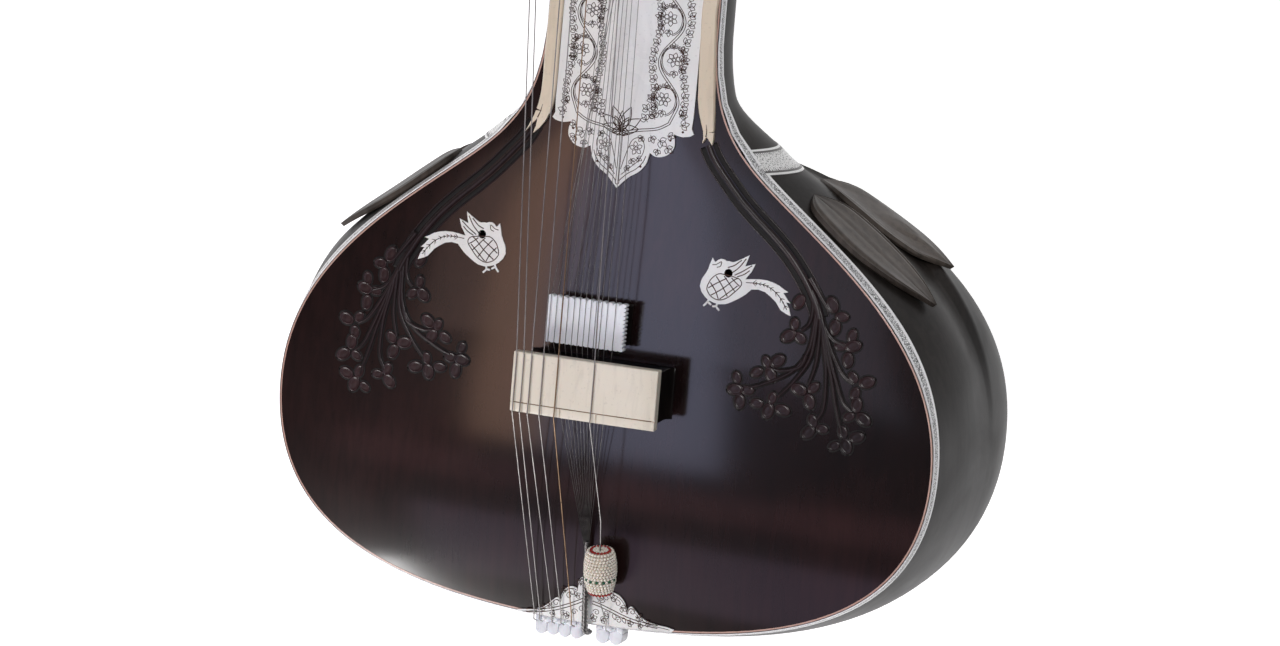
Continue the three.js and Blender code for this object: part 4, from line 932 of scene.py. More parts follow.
for label, side in (("right", 1), ("left", -1)):
    inner, outer = [
        np.interp(heights, *zip(*edges[label])) for edges in (inner_edges, outer_edges)
    ]
    inner = inner * (1 - share) + (free - binding_width) * share
    outer = outer * (1 - share) + free * share
    line = np.stack([side * (inner + outer) / 2, heights], axis=1)
    sweep_on_face(
        "binding_" + label, [(line, (outer - inner) / 2)], binding_section, binding_cream,
        stands_for=("neck_plate",) if side > 0 else (), angle=35
    )
    tip = [(side * x, y) for x, y in binding_tips[label]]
    plate_on_face(
        "binding_tip_" + label, tip, -0.5, binding_height, binding_cream, step=2.0, angle=35
    )
    split_line = through(binding_splits[label], 4) * [side, 1]
    split = [(split_line, np.linspace(0.34, 0.08, len(split_line)))]
    sweep_on_face("binding_split_" + label, split, flat_line, line_paint, lift=binding_height)
print("binding runs to", binding_end)

# %% [markdown]
# A band with a fine silver pattern hides the joint of face and shell, and a thin line of
# cream wood edges the face inside it. The band hugs the shell's side, so its rows are taken
# from the shell's own rings, pushed out by a hair. Its map runs along and across the band,
# which lets the pattern follow every bend.

# %% Rim band
band_top, band_low, band_lift = 0.7, 5.2, 0.35


def side_rows(depths, lift):
    """Rows of points round the right side of the body, from the tail to the head."""
    rows = []
    for depth in depths:
        x, y = shell_ring(max(depth, 0.0), lower_steps, upper_steps)
        up = np.linspace(board_joint, head_at - 1, 70)[1:]
        share = max(depth, 0.0) / neck_side(up, 1.0)[1]
        x, y = np.concatenate([x, neck_side(up, share)[0]]), np.concatenate([y, up])
        row = np.column_stack([x, y])
        rows.append(np.column_stack([row + right_of(row) * lift, np.full(len(row), -depth)]))
    return rows


def band_piece(name, side, depths, lift):
    """A closed strip on the body's side, with a map in millimetres along and across."""
    outer = side_rows(depths, lift)
    inner = side_rows(list(reversed(depths)), -0.3)
    rows = [row * np.array([side, 1, 1]) for row in outer + inner]
    length = len(rows[0])
    run = np.concatenate([[0], np.cumsum(np.linalg.norm(np.diff(rows[0], axis=0), axis=1))])
    faces = rings_to_faces(len(rows), length, closed=False)
    last = (len(rows) - 1) * length
    faces += [(last + i, last + i + 1, i + 1, i) for i in range(length - 1)]
    faces.append(tuple(row * length for row in range(len(rows))))
    faces.append(tuple(row * length + length - 1 for row in reversed(range(len(rows)))))
    piece = mesh_piece(name, np.vstack(rows), faces)
    chart = piece.data.uv_layers.new(name="UVMap")
    for loop in piece.data.loops:
        row, place = divmod(loop.vertex_index, length)
        across = depths[min(row, len(rows) - 1 - row)]
        chart.data[loop.index].uv = (run[place], across)
    return piece


band_depths = [band_top, band_top + 0.5, 3.4, 6.4, band_low - 0.5, band_low]
rim_bands = [
    band_piece("rim_band_right", 1, band_depths, band_lift),
    band_piece("rim_band_left", -1, band_depths, band_lift),
]
print("rim band faces:", len(rim_bands[0].data.polygons))

# %% [markdown]
# The pattern on the band is a mosaic of small silver chips in black between two fine lines. It
# is drawn in the shader on the band's own map, where one unit is a millimetre: cells of random
# shape give the chips, and noise wears some of them away.

# %% Pattern of the rim band
silver_band, tree, shader = new_finish(
    "silver_band", "engraved_plate", Coat_Weight=0.3, Coat_Roughness=0.25
)
chart = add_node(tree, "ShaderNodeTexCoord").outputs["UV"]
axes = add_node(tree, "ShaderNodeSeparateXYZ", {0: chart})
band_middle, band_half = (band_top + band_low) / 2, (band_low - band_top) / 2
border_width, chip_size = 0.5, 1.0
across = maths(tree, "ABSOLUTE", maths(tree, "SUBTRACT", axes.outputs["Y"], band_middle))
inputs = {"Vector": chart, "Scale": 1 / chip_size}
cells = add_node(tree, "ShaderNodeTexVoronoi", inputs, feature="DISTANCE_TO_EDGE")
chips = ramp(tree, [(0.05, 0.0), (0.14, 1.0)], cells.outputs["Distance"])
border = maths(tree, "GREATER_THAN", across, band_half - border_width)
grit = add_node(tree, "ShaderNodeTexNoise", {"Vector": chart, "Scale": 1.3, "Detail": 3.0})
wear = ramp(tree, [(0.38, 0.25), (0.5, 1.0)], grit.outputs["Fac"])
broken = maths(tree, "MAXIMUM", border, maths(tree, "MULTIPLY", chips, wear))
tone = mix_colours(tree, broken, (0.05, 0.052, 0.056), (0.93, 0.93, 0.94))
feed(tree, shader, tone, scale_range(tree, broken, 0.5, 0.25), broken, 0.3, 0.0003)
for band in rim_bands:
    settle(band, silver_band, angle=50)

# %% Cream edge of the face
edge_inset, edge_half = 0.75, 0.4
up = np.linspace(foot_at, head_at - 4, 40)[1:]
rim_line = np.vstack([
    tail_arc(lower_steps), flank_arc(upper_steps)[1:], flare_arc(upper_steps)[1:],
    np.column_stack([half_width(up), up])
])
for label, side in (("right", 1), ("left", -1)):
    line = (rim_line - right_of(rim_line) * edge_inset) * [side, 1]
    line[0, 0] = 0
    sweep_on_face(
        "cream_edge_" + label, [(line, edge_half)], flat_line, edge_cream, lift=0.04, angle=40
    )
print("edge points:", len(line))

# %% [markdown]
# The foot of the neck carries a thin white plate with a scalloped end. Its outline is drawn
# once for the right half and mirrored. The scallops are round, so each is a smooth line
# between the notches that meet it.

# %% Inlay plate
plate_lift, plate_thick = 0.35, 0.8
inlay_end = span("inlay_plate")[1][1]
scallops = [
    [(0, 122.8), (5.6, 128.6), (10.8, 132.2), (14.2, 136.6), (15.6, 142.2)],
    [(15.6, 142.2), (19.2, 140.6), (24.2, 141.8), (27.6, 145.6), (27.9, 149.6), (26.9, 152.9)],
    [(26.9, 152.9), (31.2, 152.0), (35.2, 152.6), (37.2, 153.8)],
]
right_edge = [tuple(p) for part in scallops for p in through(part, 7)[:-1]]
rise = np.linspace(162, inlay_end - 3, 24)
reach = np.minimum(half_width(rise) - binding_inset - binding_width - 0.4, 36.3)
right_edge += [(37.2, 153.8), (35.9, 156.5), *zip(reach, rise)]
top_edge = [(31.0, inlay_end), (14.5, inlay_end - 3.4), (0, inlay_end + 1.2)]
right_edge += [tuple(p) for p in through([right_edge[-1], *top_edge], 5)[1:]]
inlay_outline = right_edge + [(-x, y) for x, y in reversed(right_edge) if x > 0.01]
inlay = plate_on_face(
    "inlay_plate_white", inlay_outline, plate_lift, plate_lift + plate_thick, plate_white,
    stands_for=("inlay_plate",), angle=30
)
print("inlay plate faces:", len(inlay.data.polygons))

# %% [markdown]
# The engraving is a vine on each side. Its stem is a double line that waves up the plate, and
# every bay holds a curl that ends in a small flower. Little three-part leaves grow on both
# sides, and a lotus opens where the vines meet. All of it is drawn from a few motifs, and the
# lines are thin raised strips of paint, as engraved lines filled with colour look.

# %% Motifs for engraving
fine_half = 0.17


def turned(points, angle, at, size=1.0):
    """Points of a motif, scaled, turned by an angle in radians and moved to their place."""
    p = np.array(points, float) * size
    c, s = math.cos(angle), math.sin(angle)
    return np.stack([p[:, 0] * c - p[:, 1] * s + at[0], p[:, 0] * s + p[:, 1] * c + at[1]], axis=1)


def almond(length, width, steps=9):
    """A closed leaf outline that grows along +X from the origin."""
    t = np.linspace(0, 1, steps)
    up = np.column_stack([t * length, width / 2 * np.sin(np.pi * t**0.8)])
    return np.vstack([up, up[::-1][1:] * [1, -1]])


def leaf_spray(at, angle, size):
    """Three small leaves and their stalk."""
    strokes = [(turned([(-1.2, 0), (0, 0)], angle, at, size), fine_half)]
    for spread, length in ((-1.0, 2.9), (0, 3.5), (1.0, 2.9)):
        strokes.append((turned(almond(length, 2.1), angle + spread, at, size), fine_half))
    return strokes


def rosette(at, radius, petals, start):
    """A small flower: petal loops round a centre."""
    strokes = []
    for i in range(petals):
        petal = almond(radius * 0.8, radius * 0.62) + [radius * 0.3, 0]
        strokes.append((turned(petal, start + 2 * math.pi * i / petals, at), fine_half))
    ring = circle(8, radius * 0.24)
    return strokes + [(turned([*ring, ring[0]], 0, at), fine_half)]


def double_line(line, gap_half, half=fine_half):
    """Two lines side by side, which read as a stem."""
    return [(line + right_of(line) * way * gap_half, half) for way in (1, -1)]


def add_sprays(strokes, sprays):
    """Adds leaf sprays from a table of (place, angle, size)."""
    for at, angle, size in sprays:
        strokes += leaf_spray(at, angle, size)


def dot(at, radius):
    """A round spot: a short line whose width follows a circle."""
    share = np.linspace(-1, 1, 9)
    line = np.column_stack([at[0] + radius * share, np.full(9, at[1])])
    return (line, radius * np.sqrt(np.maximum(0.02, 1 - share**2)))


# %% Engraving of the inlay plate
wave_middle, wave_reach, wave_length, wave_start = 22.2, 5.6, 40.0, 168.0
stem_height = np.linspace(160, inlay_end - 5, 60)
stem_x = wave_middle + wave_reach * np.cos(2 * math.pi * (stem_height - wave_start) / wave_length)
stem_root = through([(2.2, 151.0), (9.5, 152.8), (18.5, 154.6), (25.2, 158.4)], 6)
stem = np.vstack([stem_root[:-1], np.column_stack([stem_x, stem_height])[4:]])
right_vine = double_line(stem, 0.55, 0.2)
for bay, middle_at in enumerate(np.arange(wave_start, inlay_end - 8, wave_length / 2)):
    outward = -1 if bay % 2 else 1
    heart = (wave_middle - outward * 1.8, middle_at + 1.5)
    turn = np.linspace(-0.5, 1.5 * math.pi, 20)
    radius = 7.0 * (1 - 0.34 * (turn + 0.5) / (turn[-1] + 0.5))
    curl_x = heart[0] + outward * radius * np.cos(turn - 0.9)
    curl_y = heart[1] + radius * 1.15 * np.sin(turn - 0.9)
    right_vine += double_line(np.column_stack([curl_x, curl_y]), 0.34)
    right_vine += rosette(heart, 3.4, 6, 0.3 * bay)
    for lean in (-1.5, -0.7, 0.1, 0.9, 1.7):
        tip = (heart[0] - outward * 5.0 * math.cos(lean), heart[1] + 6.0 * math.sin(lean))
        right_vine += leaf_spray(tip, math.atan2(tip[1] - heart[1], tip[0] - heart[0]), 0.86)
for y in np.arange(161.5, inlay_end - 6, 4.5):
    x = np.interp(y, stem[:, 1], stem[:, 0])
    for way in (1, -1):
        swell = 2.6 + (wave_reach + way * (wave_middle - x)) * 0.75
        spot = x + way * swell
        if 13.2 < spot < 33.6:
            right_vine += leaf_spray((spot, y + 0.8 * way), math.pi / 2 - way * 0.95, 1.0)
foot_sprays = [
    ((20.5, 148.6), -0.5, 1.2), ((15.8, 150.0), -1.1, 0.9), ((31.0, 157.6), 0.3, 1.1),
    ((24.4, 145.6), -0.7, 1.0), ((24.8, 151.6), -0.1, 0.9), ((19.4, 143.9), -1.7, 0.8),
    ((30.4, 162.6), 0.9, 1.05), ((11.0, 149.4), -2.2, 0.8), ((12.2, 158.4), 2.3, 1.05),
    ((16.4, 160.2), 1.9, 1.05), ((12.6, 163.6), 2.5, 1.0), ((14.6, 168.6), 2.4, 1.0),
]
add_sprays(right_vine, foot_sprays)

teardrop = [
    (1.2, 132.5), (3.2, 140.0), (6.0, 147.4), (10.4, 148.9), (12.6, 144.6), (10.6, 138.4),
    (5.4, 133.2), (1.6, 129.6),
]
right_vine += [(through(teardrop, 5), fine_half)]
right_vine += rosette((8.3, 143.6), 3.2, 5, 0.5)
add_sprays(
    right_vine, [((6.4, 137.6), -1.0, 0.8), ((9.6, 138.8), -0.4, 0.7), ((4.0, 133.8), -0.9, 0.7)]
)
border = [(0.0, 124.6)]
for x, y in right_edge[:25]:
    inwards = x - 1.3 if x > 1.6 else x
    if inwards > 0.6:
        border.append((inwards, y + (1.4 if x < 30 else 1.1)))
right_vine += [(np.array(border), 0.2)]
inlay_strokes = right_vine + [(line * [-1, 1], half) for line, half in right_vine]

lotus_at = (-0.4, 151.8)
lotus_petals = [
    (0.42, 12.6, 5.0, 11, 0.24), (-0.36, 12.8, 5.0, 11, 0.24), (0.98, 12.4, 5.0, 11, 0.24),
    (-0.98, 12.0, 5.0, 11, 0.24), (1.42, 10.0, 4.4, 11, 0.24), (-1.42, 9.4, 4.4, 11, 0.24),
    (0.0, 9.6, 3.2, 9, 0.26), (0.5, 7.6, 3.2, 9, 0.26), (-0.5, 7.6, 3.2, 9, 0.26),
    (1.9, 5.0, 3.2, 9, 0.26), (-1.9, 5.0, 3.2, 9, 0.26), (2.5, 3.4, 3.2, 9, 0.26),
    (-2.5, 3.4, 3.2, 9, 0.26),
]
for lean, length, width, steps, half in lotus_petals:
    petal = turned(almond(length, width, steps), math.pi / 2 + lean, lotus_at)
    inlay_strokes.append((petal, half))
inlay_strokes += double_line(np.array([(0, 126.5), (0, 132), (0, 140), (0, 148), (0, 151.6)]), 0.7)
plate_top = plate_lift + plate_thick
sweep_on_face("inlay_engraving", inlay_strokes, flat_line, line_paint, lift=plate_top - 0.02)

pin_places = [
    (30.8, 188.2), (32.2, 212.0), (25.6, 149.6), (31.6, 154.4), (11.4, 134.8), (33.0, 231)
]
pin_radius, left_drop = 0.62, 3.0
pins = []
for x, y in pin_places:
    left_y = y - left_drop if y > 160 else y
    pins += [dot((x, y), pin_radius), dot((-x, left_y), pin_radius)]
pin_section = [(-1, -0.2), (-0.9, 0.1), (0, 0.22), (0.9, 0.1), (1, -0.2)]
sweep_on_face("inlay_pins", pins, pin_section, pin_paint, lift=plate_top)
print("engraved lines on the inlay:", len(inlay_strokes))

# %% [markdown]
# A white bird sits on each side of the face, with a sound hole at the base of its crest. The
# body is cross-hatched and the long tail is engraved with small barbs. One outline serves for
# both birds: it is drawn round the hole and mirrored.

# %% Birds
bird_outline = [
    (-13.8, -8.1), (-13.4, -5.4), (-12.9, -3.8), (-11.6, -1.6), (-10.5, 0.8), (-9.9, 3.4),
    (-8.9, 6.6), (-7.9, 5.2), (-7.3, 4.6), (-6.0, 5.9), (-4.6, 6.6), (-3.0, 6.5), (-1.6, 5.9),
    (-0.3, 6.0), (1.4, 5.7), (2.6, 6.0), (4.3, 6.9), (6.6, 8.2), (9.6, 10.1), (8.9, 7.2),
    (8.1, 4.4), (10.4, 5.2), (13.2, 6.2), (12.3, 3.9), (11.5, 1.9), (10.1, 0.0), (8.9, -1.9),
    (12.4, -1.4), (16.2, -1.0), (20.0, -1.1), (23.3, -1.8), (26.3, -2.9), (28.9, -4.5),
    (31.2, -5.6), (28.7, -6.2), (31.2, -9.3), (32.7, -10.8), (30.6, -10.6), (32.5, -13.6),
    (33.7, -17.1), (31.2, -16.2), (28.4, -14.8), (25.3, -10.9), (22.4, -8.7), (19.6, -6.9),
    (16.0, -6.1), (12.5, -6.5), (10.2, -9.0), (7.8, -11.0), (5.3, -12.6), (2.8, -14.1),
    (0.3, -15.3), (-3.2, -15.8), (-5.9, -15.3), (-8.6, -14.4), (-10.6, -12.9), (-12.6, -10.8),
]
hatched = [
    (-9.9, -7.2), (-8.2, -3.6), (-4.9, -0.9), (-1.5, -0.9), (2.6, -1.4), (6.2, -2.4), (7.2, -5.0),
    (4.4, -8.6), (0.6, -12.2), (-3.6, -13.7), (-7.6, -12.3), (-9.9, -9.4)
]
hatch_rows = [
    [(-9.4, -8.4), (-5.4, -5.6), (-0.6, -2.6)],
    [(-7.6, -11.8), (-2.2, -8.0), (3.2, -3.0), (5.4, -1.8)],
    [(-3.0, -13.2), (1.0, -9.6), (5.4, -5.6)], [(-8.6, -5.6), (-5.4, -9.6), (-3.6, -13.4)],
    [(-6.0, -2.2), (-2.4, -6.6), (0.8, -11.4)], [(-2.0, -1.6), (1.4, -5.4), (4.2, -8.4)],
    [(1.8, -2.0), (4.4, -4.2), (6.4, -5.6)],
]
crest_rows = [
    [(1.8, 0.4), (5.2, 3.6), (8.2, 8.2)], [(3.2, -0.6), (7.4, 2.0), (11.6, 5.2)],
    [(-0.6, 2.8), (2.6, 4.2), (6.0, 7.2)], [(4.6, -1.2), (8.0, 0.4), (10.6, 2.6)]
]
curl_row = [(-8.6, 3.2), (-6.6, 3.6), (-4.2, 5.2), (-4.4, 3.0), (-6.2, 2.2)]
tail_row = [(9.4, -3.4), (14.2, -3.2), (19.4, -3.6), (24.4, -6.0), (28.2, -9.6), (31.4, -14.2)]
feet = [
    [(-8.4, -14.0), (-9.4, -15.8), (-11.0, -17.6)], [(-9.0, -15.2), (-7.0, -16.6)],
    [(-4.0, -15.4), (-4.2, -17.2), (-2.6, -19.0)], [(-4.2, -17.0), (-6.4, -17.2)]
]
hole_ring = circle(24, hole_radius - 0.05)


def placed(points, side, at):
    return np.array(points) * [side, 1] + at


def barbs(row, length, count):
    """Short slanted strokes on both sides of a line, like the barbs of a feather."""
    line = through(row, 8)
    strokes = []
    for i in np.linspace(6, len(line) - 4, count).astype(int):
        ahead = line[i + 1] - line[i - 1]
        turn = math.atan2(ahead[1], ahead[0])
        for lean in (0.75, -0.75):
            reach = length * (0.6 + 0.4 * math.cos(i))
            end = line[i] + reach * np.array([math.cos(turn + lean), math.sin(turn + lean)])
            strokes.append((np.array([line[i], end]), (0.24, 0.1)))
    return strokes


for label, (side, at) in bird_places.items():
    outline, hole = [placed(loop, side, at) for loop in (bird_outline, hole_ring)]
    plate_on_face(
        "bird_" + label, outline, 0.02, 0.55, plate_white, step=4.0, hole=hole, angle=30
    )
    rows = [(row, 4, 0.26) for row in hatch_rows + crest_rows]
    rows += [(hatched + hatched[:1], 4, 0.24), (curl_row, 4, 0.2), (tail_row, 5, 0.2)]
    strokes = [(placed(through(row, steps), side, at), half) for row, steps, half in rows]
    strokes += [(placed(line, side, at), half) for line, half in barbs(tail_row, 2.2, 12)]
    sweep_on_face("bird_engraving_" + label, strokes, flat_line, line_paint, lift=0.54)
    claws = [(placed(through(row, 3), side, at), 0.5) for row in feet]
    sweep_on_face("bird_feet_" + label, claws, flat_line, plate_white, lift=0.3)
    print("bird", label, "at", at, "lines:", len(strokes))

# %% [markdown]
# The face is carved along its upper edge. A ridge between two grooves runs down from each
# binding, and over the widest part of the face it fans out into stems with flowers. The grooves
# are dark strips of painted shade. The carver cut the left side as the mirror of the right, only
# a little lower, so one table of lines serves both.

# %% Carved ridges
carve_shift, carve_fall = 1.5, 5.0


def both_sides(points):
    """The right side's points, and the same carving mirrored to the left side."""
    right = np.array(points, float)
    left = np.column_stack([
        -right[:, 0] - carve_shift, right[:, 1] - carve_fall * smooth(135 - right[:, 1], 0, 60)
    ])
    return {"right": right, "left": left}


ridge_points = [
    (45, 149.5), (48.5, 143), (54.5, 135.5), (64.6, 124.5), (73.5, 116.5), (82.4, 109.2),
    (90.5, 101.8), (96.8, 94.8), (101.8, 88.2), (105.2, 82.6), (108.3, 77), (110.4, 71.5),
]
ridge_lines = both_sides(through(ridge_points, 6))
ridge_half, groove_half, lip_half = 1.9, 1.15, 0.4
for label, line in ridge_lines.items():
    swell = np.linspace(0.78, 1.0, len(line))
    # painted shade: a dark strip along each side of the ridge stands for the shade in its grooves
    grooves = double_line(line, ridge_half + groove_half, groove_half)
    sweep_on_face("ridge_groove_shade_" + label, grooves, flat_line, groove_shade_paint, lift=0.02)
    lips = double_line(line, ridge_half + 2 * groove_half + lip_half, lip_half)
    strokes = [(line, ridge_half * swell)] + lips
    sweep_on_face(
        "carved_ridge_" + label, strokes, round_line, carved_wood, rising=True, angle=60
    )
print("ridge points:", len(ridge_lines["right"]))

# %% [markdown]
# Eleven stems leave each ridge. They are swept with a round section that thins towards the
# flower, over a slightly wider dark strip of painted shade for the groove that the carver's
# gouge left round them.

# %% Carved stems
stem_lines = [
    [(100.5, 90.5), (105.8, 81.5), (106.6, 73.5), (105.5, 68), (102.2, 64.5)],
    [(102, 88.5), (107.6, 79.5), (108.4, 70.5), (106.7, 54.8), (99.2, 43.6), (86, 36), (78.5, 33)],
    [(106, 52.5), (104, 47.5), (100, 45), (94, 43.5), (90, 44)],
    [(103.5, 86.5), (108.6, 76.5), (109.3, 66.4), (108, 51.5), (101.3, 39.5), (93.5, 30)],
    [(105, 84.5), (110.3, 74.5), (111.4, 63.5), (111.2, 49.3), (108.5, 38)],
    [(106.5, 82), (111.6, 71.5), (113.6, 60.3), (116.6, 45.7), (117.2, 28.5), (114, 20.5)],
    [(107.5, 80), (113.2, 67), (116, 54.3), (119.9, 41.7), (123.2, 29.3), (127.5, 16)],
    [(108.5, 77.5), (114, 63.9), (117.9, 52.9), (122.1, 41.9), (126.4, 32.2), (131, 27.7)],
    [(109, 76), (114.2, 64.9), (119.2, 54.4), (125.1, 45.4), (131, 41.4)],
    [(107.5, 80.6), (112.3, 69.6), (117.8, 62.4), (124.5, 59.5)],
    [(103.6, 90.6), (109.9, 82.2), (114.9, 75.5)],
]
stem_root, stem_tip = 1.55, 0.75
for label in ("right", "left"):
    strokes = []
    for points in stem_lines:
        line = both_sides(through(points, 8))[label]
        strokes.append((line, np.linspace(stem_root, stem_tip, len(line))))
    # painted shade: a dark strip under each stem stands for the shade in the groove round it
    wider = [(line, half + 0.55) for line, half in strokes]
    sweep_on_face("stem_groove_shade_" + label, wider, flat_line, groove_shade_paint, lift=0.01)
    sweep_on_face("carved_stems_" + label, strokes, round_line, carved_wood, rising=True, angle=60)
print("stems on each side:", len(stem_lines))

# %% [markdown]
# The flowers are clusters of long and short petals. Each petal is a shallow cup with a raised
# rim. A table gives the middles of the petals of every flower, and each petal points away from
# the middle of its own flower.

# %% Carved flowers
flower_petals = [
    [(116, 78.9), (121.4, 73.6), (118.6, 68.1)],
    [(122.2, 59.2), (128.6, 60), (127.6, 65), (126.8, 52.9)],
    [(130.3, 44.8), (137.3, 43.1), (132, 36.9)],
    [(133.4, 31.5), (130.1, 25), (137.5, 24.7)],
    [(127.9, 17), (134.9, 15.3), (124.2, 9.6), (130.2, 10.3)],
    [(112.3, 20.6), (110.7, 14.7), (117.4, 17.3)],
    [(103.9, 35.4), (111.2, 37.2), (109.7, 30.1)],
    [(90.9, 29.4), (89.4, 22.7), (83.4, 25.8), (96.7, 24.1)],
    [(72.1, 37.3), (71.8, 31.2), (78, 31.6), (74.6, 25.5)],
    [(86.2, 47), (91.8, 48.1), (81.9, 41.2), (89, 40.9)],
    [(98.4, 67.3), (96, 61.1), (101.7, 60.9)],
    [(99.3, 78.4)],
]
petal_profile = [
    (0.0, 0.34), (0.34, 0.3), (0.56, 0.22), (0.7, 0.3), (0.82, 0.56), (0.92, 0.5), (1.0, 0.1),
    (1.0, -0.3)
]
petal_sides = 14
petal_long, petal_wide = 4.2, 2.95
petal_sizes = [1.05, 0.86, 1.0, 0.78]
petal_gap, petal_shade_half = 0.3, 0.45


def petal_mesh(points, faces, at, turn, size):
    """Adds one petal: rings of points round its middle, from the bottom of the cup outwards."""
    start, rings = len(points), []
    for share, height in petal_profile[1:]:
        spot = turned(circle(petal_sides, petal_long * share, petal_wide * share), turn, at, size)
        up = face_height(spot[:, 0], spot[:, 1]) + height * size
        rings.append(np.column_stack([spot, up]))
    add_loft(points, faces, rings)
    faces[-2:-1] = [
        (len(points), start + k, start + (k + 1) % petal_sides) for k in range(petal_sides)
    ]
    points.append((*at, face_height(*at) + petal_profile[0][1] * size))


for label in ("right", "left"):
    points, faces, petal_shade_rings = [], [], []
    for petals in flower_petals:
        spots = both_sides(petals)[label]
        middle = spots.mean(axis=0)
        for spot in spots:
            away = spot - middle
            turn = math.atan2(away[1], away[0]) if len(spots) > 1 else 1.1
            size = petal_sizes[len(petal_shade_rings) % len(petal_sizes)]
            petal_mesh(points, faces, spot, turn, size)
            long, wide = petal_long * size + petal_gap, petal_wide * size + petal_gap
            ring = circle(petal_sides, long, wide)
            petal_shade_rings.append((turned([*ring, ring[0]], turn, spot), petal_shade_half))
    flowers = mesh_piece("carved_flowers_" + label, points, faces)
    settle(flowers, petal_wood, angle=55)
    # painted shade: a dark ring round each petal stands for the shade in the groove round it
    sweep_on_face("flower_groove_shade_" + label, petal_shade_rings, flat_line, groove_shade_paint, lift=0.015)
    print("petals", label, len(petal_shade_rings))

# %% [markdown]
# The leaves over the shoulder and the white band above them lie on the round shell. Both need
# the place and the slant of the skin, so a ray is shot at the middle from outside the body,
# along a line that is turned down by an angle, and rays beside it give the slant. A face with
# four corners can be folded along either diagonal, so each is listed both ways round.

# %% A point on the skin of the shell
skin_shift = len(shell_points)
skin_faces = shell_faces + [tuple(skin_shift + i for i in face) for face in neck_faces[:-2]]
skin_faces += [tuple(face[1:]) + (face[0],) for face in skin_faces]
skin_points = [Vector(map(float, point)) for point in shell_points + neck_points]
skin = BVHTree.FromPolygons(skin_points, skin_faces)
ray_depth, ray_reach = 20.0, 300.0


def skin_point(y, angle, side):
    """Where a ray to the middle meets the skin; a ray above the rim is turned down to it."""
    middle, found = Vector((0, y, -ray_depth)), None
    while found is None:
        outward = Vector((side * math.cos(angle), 0, -math.sin(angle)))
        found = skin.ray_cast(middle + outward * ray_reach, -outward, ray_reach)[0]
        angle += 0.01
    return found


def off_skin(y, angle, side, lift):
    """A point over the skin, moved out along the slant by lift in millimetres."""
    point = skin_point(y, angle, side)
    along = skin_point(y + 5, angle, side) - skin_point(y - 5, angle, side)
    around = skin_point(y, angle + 0.08, side) - skin_point(y, angle - 0.08, side)
    normal = along.cross(around).normalized()
    if normal.dot(point - Vector((0, y, -ray_depth))) < 0:
        normal.negate()
    return point + normal * lift


print("skin at the shoulder:", skin_point(130.0, 0.4, 1))

# %% [markdown]
# A leaf is a grid: across it the height follows two raised borders and a hollow with a slit,
# along it the width swells from a rounded root and runs out to a point, and the tip stands
# off the shell. A lower layer, close under the upper one, closes it. A carver's leaf doesn't
# follow the corner between shell and neck, so the rows are evened out along the leaf.

# %% Leaves on the shoulder
leaf_turns = [
    (0.035, 0.075, 0.155, 127.5, 77.0), (0.46, 0.44, 0.20, 130.0, 88.0),
    (0.98, 0.94, 0.22, 127.0, 84.0), (math.pi / 2, math.pi / 2, 0.22, 126.0, 84.0),
]
leaf_across = [
    (-1.0, 0.2), (-0.94, 2.2), (-0.86, 2.5), (-0.8, 1.7), (-0.74, 2.3), (-0.66, 2.2), (-0.5, 1.3),
    (-0.25, 0.95), (-0.06, 1.05), (0.0, 0.7), (0.06, 1.05), (0.25, 0.95), (0.5, 1.3), (0.66, 2.2),
    (0.74, 2.3), (0.8, 1.7), (0.86, 2.5), (0.94, 2.2), (1.0, 0.2),
]
leaf_rows = 30
leaf_lift, leaf_tip_lift = 0.9, 3.2
leaf_thick, leaf_smoothings = 1.2, 6


def leaf_width(share):
    rounded = math.sqrt(max(0.0, 1 - (1 - min(share / 0.2, 1)) ** 2))
    return max(0.02, rounded * (1 - max(0.0, (share - 0.35) / 0.65) ** 1.7))


def leaf_mesh(points, faces, side, root_turn, tip_turn, half, root_at, tip_at):
    grid = []
    for row in range(leaf_rows + 1):
        share = row / leaf_rows
        y = root_at + (tip_at - root_at) * share
        angle = root_turn + (tip_turn - root_turn) * share
        spread = half * leaf_width(share)
        rise = min(1.0, 0.15 + share / 0.12) * (1 - 0.55 * share**3)
        stand = leaf_lift + leaf_tip_lift * max(0.0, (share - 0.45) / 0.55) ** 1.6
        top = [off_skin(y, angle + u * spread, side, stand + h * rise) for u, h in leaf_across]
        low = max(-0.4, stand - leaf_thick)
        under = [off_skin(y, angle + u * spread, side, low) for u, _ in leaf_across[-2:0:-2]]
        grid.append([tuple(p) for p in top + under])
    grid = np.array(grid)
    for _ in range(leaf_smoothings):
        grid[1:-1] = (grid[:-2] + 2 * grid[1:-1] + grid[2:]) / 4
    add_loft(points, faces, grid)


leaf_points, leaf_faces = [], []
for leaf in leaf_turns:
    for side in (1,) if leaf is leaf_turns[-1] else (1, -1):
        leaf_mesh(leaf_points, leaf_faces, side, *leaf)
leaves = mesh_piece("carved_leaves", leaf_points, leaf_faces)
settle(leaves, lit_leaf_wood, stands_for=("leaf_collar",), angle=40)
print("leaf faces:", len(leaves.data.polygons))

# %% [markdown]
# A white engraved band goes round the back of the neck joint, from edge to edge of the face.
# Its map runs round the neck and across the band, and the pattern is drawn from the map: a
# white line along each border, teeth like a comb inside it, and a dotted middle.

